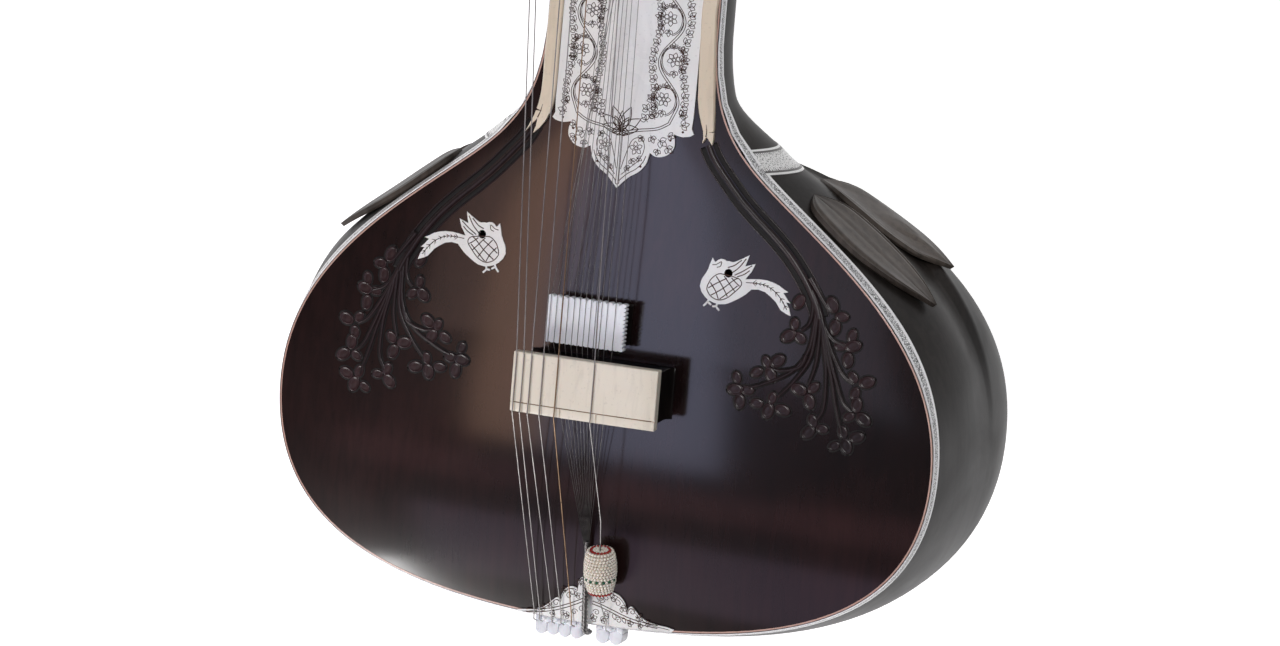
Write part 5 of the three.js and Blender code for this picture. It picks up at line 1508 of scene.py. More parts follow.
# %% Shoulder band
band_from, band_to = 137.2, 148.4
tab_rows, tab_turns = 7, 64
band_rim_depth = 5.5
strip_points, strip_map = [], []
for lift in (0.35, -0.4):
    for row in range(tab_rows):
        y = band_from + (band_to - band_from) * row / (tab_rows - 1)
        for k in range(2 * tab_turns + 1):
            share = abs(k / tab_turns - 1)
            rim_turn = -math.atan((ray_depth - band_rim_depth) / float(half_width(y)))
            angle = math.pi / 2 + (rim_turn - math.pi / 2) * share
            side = 1 if k >= tab_turns else -1
            strip_points.append(off_skin(y, angle, side, lift))
            strip_map.append((k * 2.6, row / (tab_rows - 1)))
strip_length = 2 * tab_turns + 1
upper = rings_to_faces(tab_rows, strip_length, closed=False)
layer_size = tab_rows * strip_length
strip_faces = upper + [tuple(layer_size + i for i in reversed(face)) for face in upper]
for row in range(tab_rows - 1):
    for place in (0, strip_length - 1):
        a, b = row * strip_length + place, (row + 1) * strip_length + place
        strip_faces.append((a, b, b + layer_size, a + layer_size))
for row in (0, tab_rows - 1):
    for place in range(strip_length - 1):
        a = row * strip_length + place
        strip_faces.append((a, a + 1, a + 1 + layer_size, a + layer_size))
strip = mesh_piece("shoulder_band", strip_points, strip_faces)
chart = strip.data.uv_layers.new(name="UVMap")
for loop in strip.data.loops:
    chart.data[loop.index].uv = strip_map[loop.vertex_index]
print("shoulder band faces:", len(strip.data.polygons))

# %% Pattern of the shoulder band
comb_white, tree, shader = new_finish(
    "comb_white", "engraved_plate", Coat_Weight=0.3, Coat_Roughness=0.15
)
chart = add_node(tree, "ShaderNodeTexCoord").outputs["UV"]
axes = add_node(tree, "ShaderNodeSeparateXYZ", {0: chart})
tooth_step, line_share, comb_share = 1.9, 0.075, 0.15
to_edge = maths(
    tree, "MINIMUM", axes.outputs["Y"], maths(tree, "SUBTRACT", 1.0, axes.outputs["Y"])
)
outer_line = maths(tree, "LESS_THAN", to_edge, line_share)
inside = maths(tree, "GREATER_THAN", to_edge, comb_share)
comb = maths(tree, "PINGPONG", axes.outputs["X"], tooth_step / 2)
gap = maths(tree, "SUBTRACT", 0.75, maths(tree, "MULTIPLY", to_edge, 2.6))
tooth = maths(tree, "GREATER_THAN", comb, gap)
stretch = add_node(tree, "ShaderNodeMapping", {"Vector": chart, "Scale": (1, 9, 1)})
inputs = {"Vector": stretch.outputs["Vector"], "Scale": 1.6, "Detail": 2.0}
speckle = add_node(tree, "ShaderNodeTexNoise", inputs)
dots = maths(tree, "GREATER_THAN", speckle.outputs["Fac"], 0.42)
filled = maths(tree, "MULTIPLY", maths(tree, "MULTIPLY", inside, tooth), dots)
white_part = maths(tree, "MAXIMUM", outer_line, filled)
tone = mix_colours(tree, white_part, (0.03, 0.026, 0.024), (0.86, 0.86, 0.85))
feed(tree, shader, tone, scale_range(tree, white_part, 0.5, 0.3), white_part, 0.3, 0.0003)
settle(strip, comb_white, angle=50)

# %% [markdown]
# Two bridges stand on the face, each a slab of bone on a dark wooden base. The slabs are cut
# from an outline and bevelled. The main one has a groove near its low edge and a slot under
# every string, and a fine brown line lies under each string and in the groove. The edge of
# the smaller one is filed into little teeth.

# %% Bone top of the main bridge
bridge_at, bridge_middle, bridge_half, bridge_depth = 24.9, 2.6, 38.0, 30.4
bridge_top, bridge_thick, bridge_crown = 38.0, 6.4, 0.8
bridge_strings = [7.8, -11.3, -19.1, -25.4, -29.6, -33.5]
spare_slots = [-8.6, 10.5]
groove_at, slot_reach = bridge_at - bridge_depth / 2 + 4.9, 4.4


def bridge_surface(x, y):
    """Height of the bone top of the main bridge."""
    across = (x - bridge_middle) / bridge_half
    low_side = max(0.0, -(y - bridge_at) / (bridge_depth / 2))
    return bridge_top - bridge_crown * across**2 - 0.5 * low_side**3


def cut(piece, low, high):
    """Cuts a box, given by its corners, out of a piece."""
    place = [(a + b) / 2 for a, b in zip(low, high)]
    size = [b - a for a, b in zip(low, high)]
    bpy.ops.mesh.primitive_cube_add(size=1, location=place, scale=size)
    cut_with(piece, bpy.context.object)


bpy.ops.mesh.primitive_cube_add(
    size=1, location=(bridge_middle, bridge_at, bridge_top - bridge_thick / 2),
    scale=(2 * bridge_half, bridge_depth, bridge_thick)
)
bridge_bone_top = bpy.context.object
bridge_bone_top.name = "main_bridge_bone"
bpy.ops.object.transform_apply(location=True, rotation=True, scale=True)
bpy.ops.object.mode_set(mode="EDIT")
bpy.ops.mesh.select_all(action="SELECT")
bpy.ops.mesh.subdivide(number_cuts=7)
bpy.ops.object.mode_set(mode="OBJECT")
for vert in bridge_bone_top.data.vertices:
    share = (vert.co.z - bridge_top + bridge_thick) / bridge_thick
    vert.co.z -= share * (bridge_top - bridge_surface(vert.co.x, vert.co.y))
bevel(bridge_bone_top, 1.15, 3, 50)
apply_modifiers(bridge_bone_top)
ends = (bridge_middle - bridge_half - 2, bridge_middle + bridge_half + 2)
groove_wide, groove_depth, slot_wide, slot_depth = 0.56, 1.7, 0.84, 0.75
low_edge, over = bridge_at - bridge_depth / 2, bridge_top + 2
cut(
    bridge_bone_top, (ends[0], groove_at - groove_wide / 2, bridge_top - groove_depth),
    (ends[1], groove_at + groove_wide / 2, over)
)
for x in bridge_strings + spare_slots:
    slot_low = (x - slot_wide / 2, low_edge - 2, bridge_surface(x, low_edge) - slot_depth)
    cut(bridge_bone_top, slot_low, (x + slot_wide / 2, low_edge + slot_reach, over))
settle(bridge_bone_top, bridge_bone, stands_for=("main_bridge_top",), angle=28)
print("main bridge bone faces:", len(bridge_bone_top.data.polygons))

# %% Brown lines on the bone
def box_strip(points, faces, start, end, half, height):
    """Adds a thin closed strip between two points, over the bone of the main bridge."""
    aside = np.array([end[1] - start[1], start[0] - end[0]], float)
    aside *= half / np.linalg.norm(aside)
    rings = []
    for t in np.linspace(0, 1, 10):
        ring = []
        for share, up in ((-1, -0.25), (-1, height), (1, height), (1, -0.25)):
            x = start[0] + (end[0] - start[0]) * t + aside[0] * share
            y = start[1] + (end[1] - start[1]) * t + aside[1] * share
            ring.append((x, y, bridge_surface(x, y) + up))
        rings.append(ring)
    add_loft(points, faces, rings)


points, faces = [], []
high_edge = bridge_at + bridge_depth / 2 - 1.2
for x in bridge_strings:
    box_strip(points, faces, (x, groove_at + 0.5), (x, high_edge), 0.2 if x < 0 else 0.26, 0.02)
box_strip(points, faces, (ends[0] + 3.6, groove_at), (ends[1] - 3.6, groove_at), 0.22, -0.1)
settle(mesh_piece("bridge_string_lines", points, faces), string_line_brown)

# %% Bone top of the sympathetic bridge
low_bridge_at, low_bridge_middle, low_bridge_half, low_bridge_depth = 56.4, -4.0, 20.7, 24.0
low_bridge_top, low_bridge_thick = 23.6, 4.6
taraf_x = [-22.7, -19.5, -16.7, -13.5, -10.3, -7.3, -4.3, -1.5, 1.3, 4.2, 7.2, 11.4]


def toothed(start, end, teeth, depth):
    """Points along an edge with small round teeth that bite inwards, to the edge's right."""
    a, b = np.array(start, float), np.array(end, float)
    inward = np.array([(b - a)[1], -(b - a)[0]]) / np.linalg.norm(b - a)
    spots = []
    for k in range(teeth):
        for share, bite in ((0.0, 1.0), (0.2, 0.25), (0.5, 0.0), (0.8, 0.25)):
            spots.append(a + (b - a) * (k + share) / teeth + inward * depth * bite)
    return spots


left, right = low_bridge_middle - low_bridge_half, low_bridge_middle + low_bridge_half
low, high = low_bridge_at - low_bridge_depth / 2, low_bridge_at + low_bridge_depth / 2
toothed_outline = (
    toothed((left, low), (left, high), 11, 0.5) + toothed((left, high), (right, high), 12, 1.2)
    + toothed((right, high), (right, low), 12, 1.35) + toothed((right, low), (left, low), 16, 0.4)
)


def slab(name, outline, low, high, round_by, segments=3, angle=25):
    """A slab cut to an outline, bevelled all round."""
    corners = [(x, y, high) for x, y in outline]
    piece = mesh_piece(name, corners, [range(len(corners))], smooth=False, closed=False)
    thicken(piece, high - low)
    bevel(piece, round_by, segments, angle)
    apply_modifiers(piece)
    return piece


low_bridge_under = low_bridge_top - low_bridge_thick
taraf_top = slab(
    "taraf_bridge_bone", toothed_outline, low_bridge_under, low_bridge_top, 0.22, 2, 60
)
settle(taraf_top, taraf_bone, stands_for=("taraf_bridge_top",), angle=25)
print("sympathetic bridge bone faces:", len(taraf_top.data.polygons))

# %% [markdown]
# The bases are dark wood. Each is one outline, seen from the tail, that is stretched along the
# strings in short steps, so that its feet can follow the dome they stand on. The main base has
# two legs with a flared foot and an arch between them, the smaller one two low feet.

# %% Wooden bases of the bridges
base_steps = 7


def bridge_base(name, middle, at, half_outline, depth, stands_for):
    """Stretches a half outline, mirrored, along the strings; None as a height means the face."""
    ring = half_outline + [(-x, z) for x, z in reversed(half_outline) if x > 0]
    rings = []
    for y in np.linspace(at - depth / 2, at + depth / 2, base_steps):
        stand = [float(face_height(middle + x, y)) + 0.06 for x, _ in ring]
        rings.append([
            (middle + x, y, floor if z is None else max(z, floor))
            for (x, z), floor in zip(ring, stand)
        ])
    piece = loft_piece(name, rings, smooth=False)
    bevel(piece, 0.55, 2, 45)
    settle(piece, bridge_wood, stands_for=(stands_for,), angle=40)


under_bone, arch_height, leg = bridge_top - bridge_thick - 0.05, 24.6, 35.8
main_half = [
    (0, under_bone), (leg, under_bone), (leg, 20), (leg - 0.3, 15), (leg + 0.2, 11),
    (leg + 1.4, 8.6), (leg + 2.2, 7.2), (leg + 2.2, None), (leg - 9.2, None), (leg - 9.0, 10.5),
    (leg - 8.2, 14), (leg - 8.4, 18.5), (leg - 10.2, 22), (leg - 13.5, 24.0),
    (leg - 17.5, arch_height), (8.0, arch_height), (4.0, arch_height - 0.9),
    (0, arch_height - 1.5),
]
bridge_base(
    "main_bridge_wood", bridge_middle, bridge_at, main_half, bridge_depth - 4.4, "main_bridge_base"
)
low_under, low_leg = low_bridge_under - 0.05, 18.9
low_half = [
    (0, low_under), (low_leg, low_under), (low_leg, 14.2), (low_leg + 0.8, 12.0),
    (low_leg + 0.8, None), (low_leg - 8.0, None), (low_leg - 8.0, 11.6), (low_leg - 9.2, 12.7),
    (0, 12.7),
]
bridge_base(
    "taraf_bridge_wood", low_bridge_middle, low_bridge_at, low_half, low_bridge_depth - 3.6,
    "taraf_bridge_base"
)
print("bridge bases stand on the face at", float(face_height(bridge_middle + leg, bridge_at)))

# %% [markdown]
# The playing strings of the measured model are already thin round wires, so they only get
# their metal: steel, and bronze for the second. The sympathetic strings end in a rope that is
# twisted from their loops, so they are drawn again, with the rope as three strands.

# %% Wires and the twisted rope
for index in range(1, 7):
    for place in nodes[f"playing_string_{index}"].material_slots:
        place.material = bronze if index == 2 else steel


def tube(points, faces, line, radius, sides=6):
    """Adds a closed round tube along a line in space."""
    along = directions(line)
    guide = np.array([1.0, 0, 0]) if abs(along[0, 0]) < 0.8 else np.array([0, 0, 1.0])
    rings = []
    for spot, ahead in zip(line, along):
        aside = np.cross(ahead, guide)
        aside /= np.linalg.norm(aside)
        guide = np.cross(aside, ahead)
        rings.append(spot + circle(sides, radius) @ np.array([aside, guide]))
    add_loft(points, faces, rings)


rope_x, rope_top, rope_height, wire_radius = 2.0, -58.0, 10.5, 0.16
taraf_peg_at = [middle_of(f"taraf_peg_{index}")[1] for index in range(1, 13)]
entry_x, entry_lead = -3.0, 6.0
wire_lift = 0.6
points, faces = [], []
for x, peg_at in zip(taraf_x, taraf_peg_at):
    entry = peg_at - entry_lead
    on_low, up, hole = low_bridge_top + 0.45, float(face_height(entry_x, entry)), entry + 1.2
    path = [
        (rope_x + (x + 5) * 0.06, rope_top - 1, rope_height), (x, low - 0.4, on_low),
        (x, high + 0.4, on_low), (entry_x, entry, up + wire_lift + 0.5),
        (entry_x, hole, float(face_height(entry_x, hole)) - 0.4),
    ]
    tube(points, faces, path, wire_radius)
rope_path = through([
    (rope_x, rope_top + 2, rope_height + 0.3), (rope_x, rope_top - 6, rope_height - 1.1),
    (rope_x, -80, 7.1), (rope_x, -96.8, 4.1), (rope_x, -101.6, 3.1), (rope_x, -103.6, 1.4),
    (rope_x, -105.2, -2.2), (rope_x, -105.4, -5.4),
], 14)
run = np.concatenate([[0], np.cumsum(np.linalg.norm(np.diff(rope_path, axis=0), axis=1))])
rope_pitch, rope_turn = 6.2, 0.82
side_way = np.array([1.0, 0, 0])
up_way = np.cross(side_way, directions(rope_path))
for strand in range(3):
    phase = 2 * np.pi * (run / rope_pitch + strand / 3)
    out = np.cos(phase)[:, None] * side_way + np.sin(phase)[:, None] * up_way
    line = rope_path + rope_turn * out
    tube(points, faces, line, 0.74, 7)
wires = mesh_piece("sympathetic_wires", points, faces)
settle(wires, steel, stands_for=("sympathetic_strings",))
print("wire faces:", len(wires.data.polygons))

# %% [markdown]
# At the tail the strings go over a white engraved plate. Its outline is not symmetric: a long
# thin tip on each side, two humps, and a round lobe beside the rope. The lower edge follows
# the edge of the face.

# %% Tail plate
tail_upper = [
    [
        (-35.7, -98.5), (-30.7, -97.6), (-24.3, -96.1), (-20.7, -94.3), (-17.2, -91.3),
        (-14.1, -88.6), (-11.8, -89.4)
    ],
    [(-11.8, -89.4), (-11.5, -87.5), (-10.3, -84.5), (-8.2, -82.2), (-5.4, -81.3), (-2.9, -82.1)],
    [
        (-2.9, -82.1), (-2.6, -79.1), (-1.6, -76.6), (0.4, -75.2), (2.4, -76.4), (3.4, -79.4),
        (3.8, -82.2)
    ],
    [
        (3.8, -82.2), (8.0, -81.0), (12.6, -80.4), (16.6, -81.3), (19.8, -82.8), (22.1, -85.4),
        (23.2, -88.4), (23.8, -90.8)
    ],
    [
        (23.8, -90.8), (24.6, -88.3), (26.0, -87.3), (27.9, -89.0), (30.6, -91.8), (34.2, -93.8),
        (39.2, -94.9), (44.6, -95.3), (48.6, -96.2)
    ],
]
upper = [tuple(p) for part in tail_upper for p in through(part, 5)[:-1]] + [(48.6, -96.2)]
tail_edge = tail_arc(np.linspace(0, 0.34, 40))
tail_rim = [(x, np.interp(abs(x), *tail_edge.T) + 0.25) for x in np.linspace(47.5, -35.0, 40)]
plate_on_face(
    "tail_plate_white", upper + tail_rim, 0.06, 0.85, plate_white, stands_for=("tail_plate",),
    angle=30
)


def curl(at, start, side, turns, radius):
    """A spiral line that winds inwards."""
    t = np.linspace(0, 1, 16)
    angle = start + side * turns * 2 * math.pi * t
    reach = radius * (1 - 0.78 * t)
    line = np.column_stack([at[0] + reach * np.cos(angle), at[1] + reach * np.sin(angle)])
    return (line, fine_half)


inside = [(x, y - 1.1) for x, y in upper[3:-3]]
tail_strokes = [(np.array(inside), fine_half)]
veins = [
    [(2.2, -86.4), (-2.6, -89.2), (-9.0, -92.4), (-16.0, -95.2), (-23.0, -97.0), (-30.5, -98.2)],
    [(5.2, -88.2), (10.0, -89.4), (16.0, -91.4), (23.0, -93.8), (30.0, -95.2), (40.0, -96.0)],
]
for vein in veins:
    tail_strokes += double_line(through(vein, 5), 0.75, 0.24)
tail_curls = [
    ((-7.2, -86.6), 0.4, 1, 1.1, 2.1), ((-6.0, -84.6), 2.4, -1, 1.1, 2.1),
    ((-14.2, -91.6), 0.0, 1, 1.1, 2.1), ((18.6, -86.6), 2.8, -1, 1.1, 2.1),
    ((12.8, -84.6), 0.6, 1, 1.1, 2.1), ((26.4, -90.0), 2.8, -1, 1.1, 2.1),
    ((-4.4, -94.8), 0.2, 1, 1.2, 1.8), ((-10.6, -96.6), 0.8, 1, 1.2, 1.8),
    ((7.4, -93.2), 2.9, -1, 1.2, 1.8), ((12.6, -94.8), 2.6, -1, 1.2, 1.8),
    ((19.2, -95.6), 2.4, -1, 1.2, 1.8), ((-0.6, -92.6), 0.2, 1, 1.2, 1.8),
]
tail_strokes += [curl(*row) for row in tail_curls]
add_sprays(tail_strokes, (
    ((-1.2, -79.4), 1.4, 0.95), ((-9.6, -84.6), 2.2, 0.8), ((-3.6, -86.0), 0.6, 0.8),
    ((-17.0, -93.6), 2.9, 0.8), ((-20.6, -95.6), 3.0, 0.7), ((9.0, -86.4), 0.9, 1.0),
    ((15.4, -84.2), 0.3, 1.0), ((20.8, -88.6), -0.5, 0.9), ((29.2, -92.6), -0.3, 0.9),
    ((34.0, -95.0), -0.2, 0.7), ((5.0, -96.8), 0.4, 0.9), ((24.6, -96.4), 0.1, 0.8),
    ((-7.6, -97.4), 3.0, 0.8), ((-15.4, -97.8), 3.1, 0.7), ((10.2, -97.0), 0.2, 0.8),
    ((30.0, -97.0), 0.1, 0.7),
))
for x in (12.2, 16.4, 21.6):
    tail_strokes.append((turned(almond(3.4, 1.9), -1.2, (x, -91.6 - (x - 12) * 0.22)), fine_half))
sweep_on_face("tail_engraving", tail_strokes, flat_line, line_paint, lift=0.83)
print("engraved lines on the tail plate:", len(tail_strokes))

# %% [markdown]
# Below the edge hangs the bone that holds the loops of the strings. It is carved into two rows
# of scales with a slot for the rope. Each scale is a small bevelled slab over a dark core of
# painted shade, which shows in the gaps between the scales.

# %% Hanger of bone scales
hanger_left, hanger_right, hanger_slot = -27.0, 20.0, (-1.6, 5.6)
hanger_top, hanger_low, hanger_thick = -4.0, -110.4, 10.6
scale_gap = 0.12


def round_lobe(x_low, x_high, neck, bottom):
    """A scale: a pointed top between its neighbours and a round lower end."""
    middle, half = (x_low + x_high) / 2, (x_high - x_low) / 2 - scale_gap
    arc = [
        (middle + half * math.cos(a), bottom + half * (1 + math.sin(a)))
        for a in np.linspace(math.pi, 2 * math.pi, 9)
    ]
    return [(middle, neck + 1.5), (middle - half, neck)] + arc + [(middle + half, neck)]


scales = []
for start, end, count in ((hanger_left, hanger_slot[0], 4), (hanger_slot[1], hanger_right, 2)):
    width = (end - start) / count
    for i in range(count):
        a, b = start + i * width, start + (i + 1) * width
        scales.append((round_lobe(a, b, -104.4, hanger_low + 0.2 * (i % 2)), -0.5))
    for i in range(count + 1):
        a = max(start, start + (i - 0.5) * width) + scale_gap
        b = min(end, start + (i + 0.5) * width) - scale_gap
        tip = min(max(start + i * width, a), b)
        scales.append(([(a, -98.2), (a, -102.9), (tip, -104.3), (b, -102.9), (b, -98.2)], 0.0))


def join_pieces(parts, name, finish, **rest):
    select_only(*parts)
    bpy.ops.object.join()
    bpy.context.object.name = name
    settle(bpy.context.object, finish, **rest)


scale_parts = []
for index, (outline, drop) in enumerate(scales):
    corners = [p for k, p in enumerate(outline) if math.dist(p, outline[k - 1]) > 0.05]
    low = hanger_top - hanger_thick + 0.6
    scale_parts.append(slab(f"scale_{index}", corners, low, hanger_top + drop, 0.35))
join_pieces(scale_parts, "tail_hanger_scales", taraf_bone, stands_for=("tail_hanger",), angle=50)
# painted shade: a dark core inside the bone scales, seen only in the gaps between them
shade_cores = []
for start, end in ((hanger_left + 1, hanger_slot[0] - 1), (hanger_slot[1] + 1, hanger_right - 1)):
    corners = [(start, -98), (start, -107), (end, -107), (end, -98)]
    low, high = hanger_top - hanger_thick + 1.5, hanger_top - 1.5
    shade_cores.append(slab("hanger_shade_core", corners, low, high, 0.3))
join_pieces(shade_cores, "hanger_shade_core", line_paint, slot="bone")
print("scales:", len(scales))

# %% [markdown]
# The main string passes through a fine tuner that is covered with threaded glass beads. A
# turned core gives its shape. The beads sit in rows round it, every second row half a bead
# further on, with a green row, a red row at the low end, and rings on the upper face.

# %% Beaded tuner
bead_middle = middle_of("tuning_bead")
bead_tilt = math.atan(0.22)
bead_long = np.array([0, math.cos(bead_tilt), math.sin(bead_tilt)])
bead_up = np.array([0, -math.sin(bead_tilt), math.cos(bead_tilt)])
bead_aside = np.array([1.0, 0, 0])
grain_radius = 0.84
barrel_stations = [
    (-11.75, 5.1), (-9.5, 6.3), (-5.0, 7.45), (0, 7.9), (5.0, 7.75), (9.4, 7.0), (11.75, 6.0)
]
grain = bmesh.new()
bmesh.ops.create_uvsphere(grain, u_segments=8, v_segments=6, radius=grain_radius)
grain_points = np.array([v.co for v in grain.verts])
grain_faces = [tuple(v.index for v in f.verts) for f in grain.faces]
grain.free()


def round_bead(along, angle, radius):
    """A place round the tuner's axis."""
    out = math.cos(angle) * bead_aside + math.sin(angle) * bead_up
    return bead_middle + along * bead_long + radius * out


def bead_piece(name, spots, finish):
    """One mesh of small beads at spots given as (along the axis, angle, radius)."""
    points, faces = [], []
    for spot in spots:
        place = round_bead(*spot)
        start = len(points)
        points += [tuple(place + p) for p in grain_points]
        faces += [tuple(start + i for i in face) for face in grain_faces]
    settle(mesh_piece(name, points, faces), finish, body="bead")


def bead_row(along, radius, shift):
    count = int(round(math.pi * radius / (grain_radius * 1.02)))
    return [(along, 2 * math.pi * (k + shift) / count, radius) for k in range(count)]


row_count = 15
row_places = np.linspace(-11.0, 11.0, row_count)
green_row, red_row = 5, 0
ivory_spots = []
for index, along in enumerate(row_places):
    radius = np.interp(along, *zip(*barrel_stations)) - 0.1
    row = bead_row(along, radius, 0.5 * (index % 2))
    if index == green_row:
        bead_piece("bead_green_row", row[::2], bead_green)
        ivory_spots += row[1::2]
    elif index == red_row:
        bead_piece("bead_red_row", row, bead_red)
    else:
        ivory_spots += row
ivory_spots += bead_row(11.6, 3.3, 0.2) + bead_row(11.7, 1.9, 0.0)
ivory_spots += bead_row(-11.5, 3.9, 0.3)
bead_piece("bead_ivory_rows", ivory_spots, bead_ivory)
bead_piece("bead_red_ring", bead_row(11.6, 4.7, 0.0), bead_red)

core_profile = [
    (-11.5, 1.0), (-11.5, 4.4), (-9.5, 5.7), (-5, 6.9), (0, 7.4), (5, 7.2), (9.4, 6.4),
    (11.5, 5.2), (11.5, 1.0)
]
core_sides = 36
turn = 2 * math.pi * np.arange(core_sides) / core_sides
rings = [[round_bead(along, angle, radius) for angle in turn] for along, radius in core_profile]
core = loft_piece("bead_core", rings, joined=True)
settle(core, bead_thread, body="bead", stands_for=("tuning_bead",), angle=40)
print("glass beads:", len(ivory_spots))

# %% [markdown]
# Nineteen frets arch high over the neck. Each is one smooth rod of oval section that rises
# from its feet on the two bindings. The path is a rounded arch, steeper at its sides than a
# half circle, and every fret is as wide as the neck is where it stands.

# %% Frets
fret_top, fret_wide, fret_high, fret_square = 26.4, 4.4, 3.4, 2.5
fret_steps, fret_ring = 44, 12
fret_count = 19


def fret_place(index):
    return float(middle_of(f"fret_{index}")[1])


def binding_middle(y):
    return float(half_width(y)) - binding_inset - binding_width / 2


def binding_top_at(y):
    return float(face_height(binding_middle(y), y)) + binding_height


def fret_foot(y):
    half = min(39.6, binding_middle(y)) - fret_high / 2
    return half, binding_top_at(y) + 0.1


for index in range(1, fret_count + 1):
    y = fret_place(index)
    foot_x, foot_z = fret_foot(y)
    rise = fret_top - foot_z - fret_high / 2
    turn = np.linspace(math.pi, 0, fret_steps)
    c, s = np.cos(turn), np.sin(turn)
    arch_x = np.sign(c) * np.abs(c) ** (2 / fret_square) * foot_x
    arch_z = foot_z + rise * np.abs(s) ** (2 / fret_square)
    ahead = np.stack([np.gradient(arch_x), np.gradient(arch_z)], axis=1)
    ahead[0], ahead[-1] = (0, 1), (0, -1)
    ahead /= np.linalg.norm(ahead, axis=1)[:, None]
    oval = circle(fret_ring, fret_wide / 2, fret_high / 2)
    rings = [
        [(x - dz * out, y + aside, z + dx * out) for aside, out in oval]
        for x, z, (dx, dz) in zip(arch_x, arch_z, ahead)
    ]
    rod = loft_piece(f"fret_rod_{index}", rings)
    settle(rod, brass, body=f"fret_{index}_body", stands_for=(f"fret_{index}",), angle=50)
print("first fret at", fret_place(1), "last fret at", fret_place(fret_count))

# %% [markdown]
# A fret isn't glued. Waxed thread is wound round each foot and runs round the back of the
# neck, so that the player can slide the fret. The threads follow the neck's own section.

# %% Fret threads
thread_radius, thread_step = 0.42, 0.95
back_shares = np.sin(np.linspace(math.asin(0.03), math.pi / 2, 22))
for index in range(1, fret_count + 1):
    y = fret_place(index)
    foot_x, foot_z = fret_foot(y)
    points, faces = [], []
    for strand in (-1, 0, 1):
        at = y + strand * thread_step
        widths, depths = neck_side(at, back_shares)
        lift = thread_radius + 0.05
        right = [
            (foot_x - 1.2, at, foot_z + 2.4), (foot_x + 2.6, at, foot_z + 1.4),
            (half_width(at) + 0.2, at, 0.9)
        ]
        right += [(x + lift, at, -z) for x, z in zip(widths[:-2], depths[:-2])]
        bottom = -depths[-1] - lift
        right += [(widths[-2] * 0.75, at, bottom)]
        line = right + [(0, at, bottom)] + [(-x, yy, z) for x, yy, z in reversed(right)]
        tube(points, faces, line, thread_radius, 5)
    for side in (1, -1):
        for turn_index in range(4):
            ring = np.linspace(0, 2 * math.pi, 15)
            out, along = fret_high / 2 + 0.35, fret_wide / 2 + 0.35
            coil = np.column_stack([
                side * foot_x + out * np.sin(ring), y + along * np.cos(ring),
                np.full(15, foot_z + 0.9 + turn_index * 0.8)
            ])
            tube(points, faces, coil, thread_radius, 5)
    ties = mesh_piece(f"fret_tie_{index}", points, faces)
    settle(ties, tie_thread, body=f"fret_{index}_body")
print("thread faces on one fret:", len(ties.data.polygons))

# %% [markdown]
# The pegs are turned, then fluted by hand. The long and the short kind are turned profiles
# whose radius is pulled in along a few flutes. Every peg is made from the profile of its kind,
# then it is turned and moved to the place of the measured peg.

# %% Pegs of two kinds
def turned_mesh(name, stations, sides, flutes=0, depth=0.0, fluted=(0, 0), joined=False):
    """A closed turned shape along +Z; flutes pull its radius in between two heights."""
    rings = []
    wave = 0.5 - 0.5 * np.cos(flutes * 2 * math.pi * np.arange(sides) / sides)
    start, end = fluted
    for radius, height in stations:
        share = smooth(height, start, start + 3) * (1 - smooth(height, end - 3, end))
        out = circle(sides, radius) * (1 - (depth * share if flutes else 0) * wave)[:, None]
        rings.append(np.column_stack([out, np.full(sides, height)]))
    return loft_piece(name, rings, joined)


def peg_stations(shares, radius, length, shaft, inner):
    """The profile of a peg: its shaft, then a smooth line through the shares of the head."""
    head = through([(radius * r, length * along) for r, along in shares], 6)
    head = [(max(float(r), 0.4), min(float(z), length)) for r, z in head]
    stations = [(shaft, -inner), (shaft, -0.05)] + head + [(radius * shares[-1][0] * 0.55, length)]
    return [s for k, s in enumerate(stations) if k == 0 or math.dist(s, stations[k - 1]) > 0.02]


main_shares = [
    (0.55, 0), (0.62, 0.06), (0.36, 0.14), (0.62, 0.3), (1, 0.52), (0.92, 0.74), (0.5, 0.9),
    (0.28, 0.94), (0.3, 1)
]
low_shares = [(0.72, 0), (0.62, 0.2), (1, 0.55), (0.82, 0.86), (0.3, 1)]
main_radius, main_length, main_shaft = 14.5, 46.0, 4.6
low_radius, low_length, low_shaft = 7.0, 21.0, 3.0

ring_shape = [(0.3, 0.105), (0.5, 0.105), (0.53, 0.125), (0.5, 0.145), (0.3, 0.145)]
button_shape = [(0.1, 0.9), (0.2, 0.99), (0.2, 1.0), (0.12, 1.0)]


def is_upright(node):
    size = np.subtract(*reversed(span(node)))
    return size[2] > size[0]


def place_peg(node, name, shares, radius, length, shaft, sides, flutes):
    """Makes the peg of a node, with a bone ring at its collar and a bone button at its tip."""
    (peg_left, _, _), (peg_right, _, peg_up) = span(node)
    x, y, z = middle_of(node)
    if is_upright(node):
        whole = peg_up - span(node)[0][2]
        place = Matrix.Translation((x, y, peg_up - length))
    else:
        whole = peg_right - peg_left
        lying = Matrix.Rotation(-math.pi / 2, 4, "Y")
        place = Matrix.Translation((peg_left + length, y, z)) @ lying
    stations = peg_stations(shares, radius, length, shaft, whole - length)
    fluted = (length * 0.2, length * 0.86)
    ring = [(radius * r, length * along) for r, along in ring_shape]
    button = [(radius * r, length * along) for r, along in button_shape]
    button[-1] = (button[-1][0], length + 0.02)
    for piece, finish, stands_for in (
        (turned_mesh(name, stations, sides, flutes, 0.09, fluted), peg_wood, (node,)),
        (turned_mesh(name + "_ring", ring, 24), white_bone, ()),
        (turned_mesh(name + "_button", button, 20), white_bone, ()),
    ):
        piece.data.transform(place)
        settle(piece, finish, body=node + "_body", stands_for=stands_for, angle=40)


long_kind = (main_shares, main_radius, main_length, main_shaft, 48, 12)
short_kind = (low_shares, low_radius, low_length, low_shaft, 28, 7)
for index in range(1, 7):
    place_peg(f"main_peg_{index}", f"long_peg_{index}", *long_kind)
for index in range(1, 13):
    place_peg(f"taraf_peg_{index}", f"short_peg_{index}", *short_kind)
print("pegs made: 6 long, 12 short")

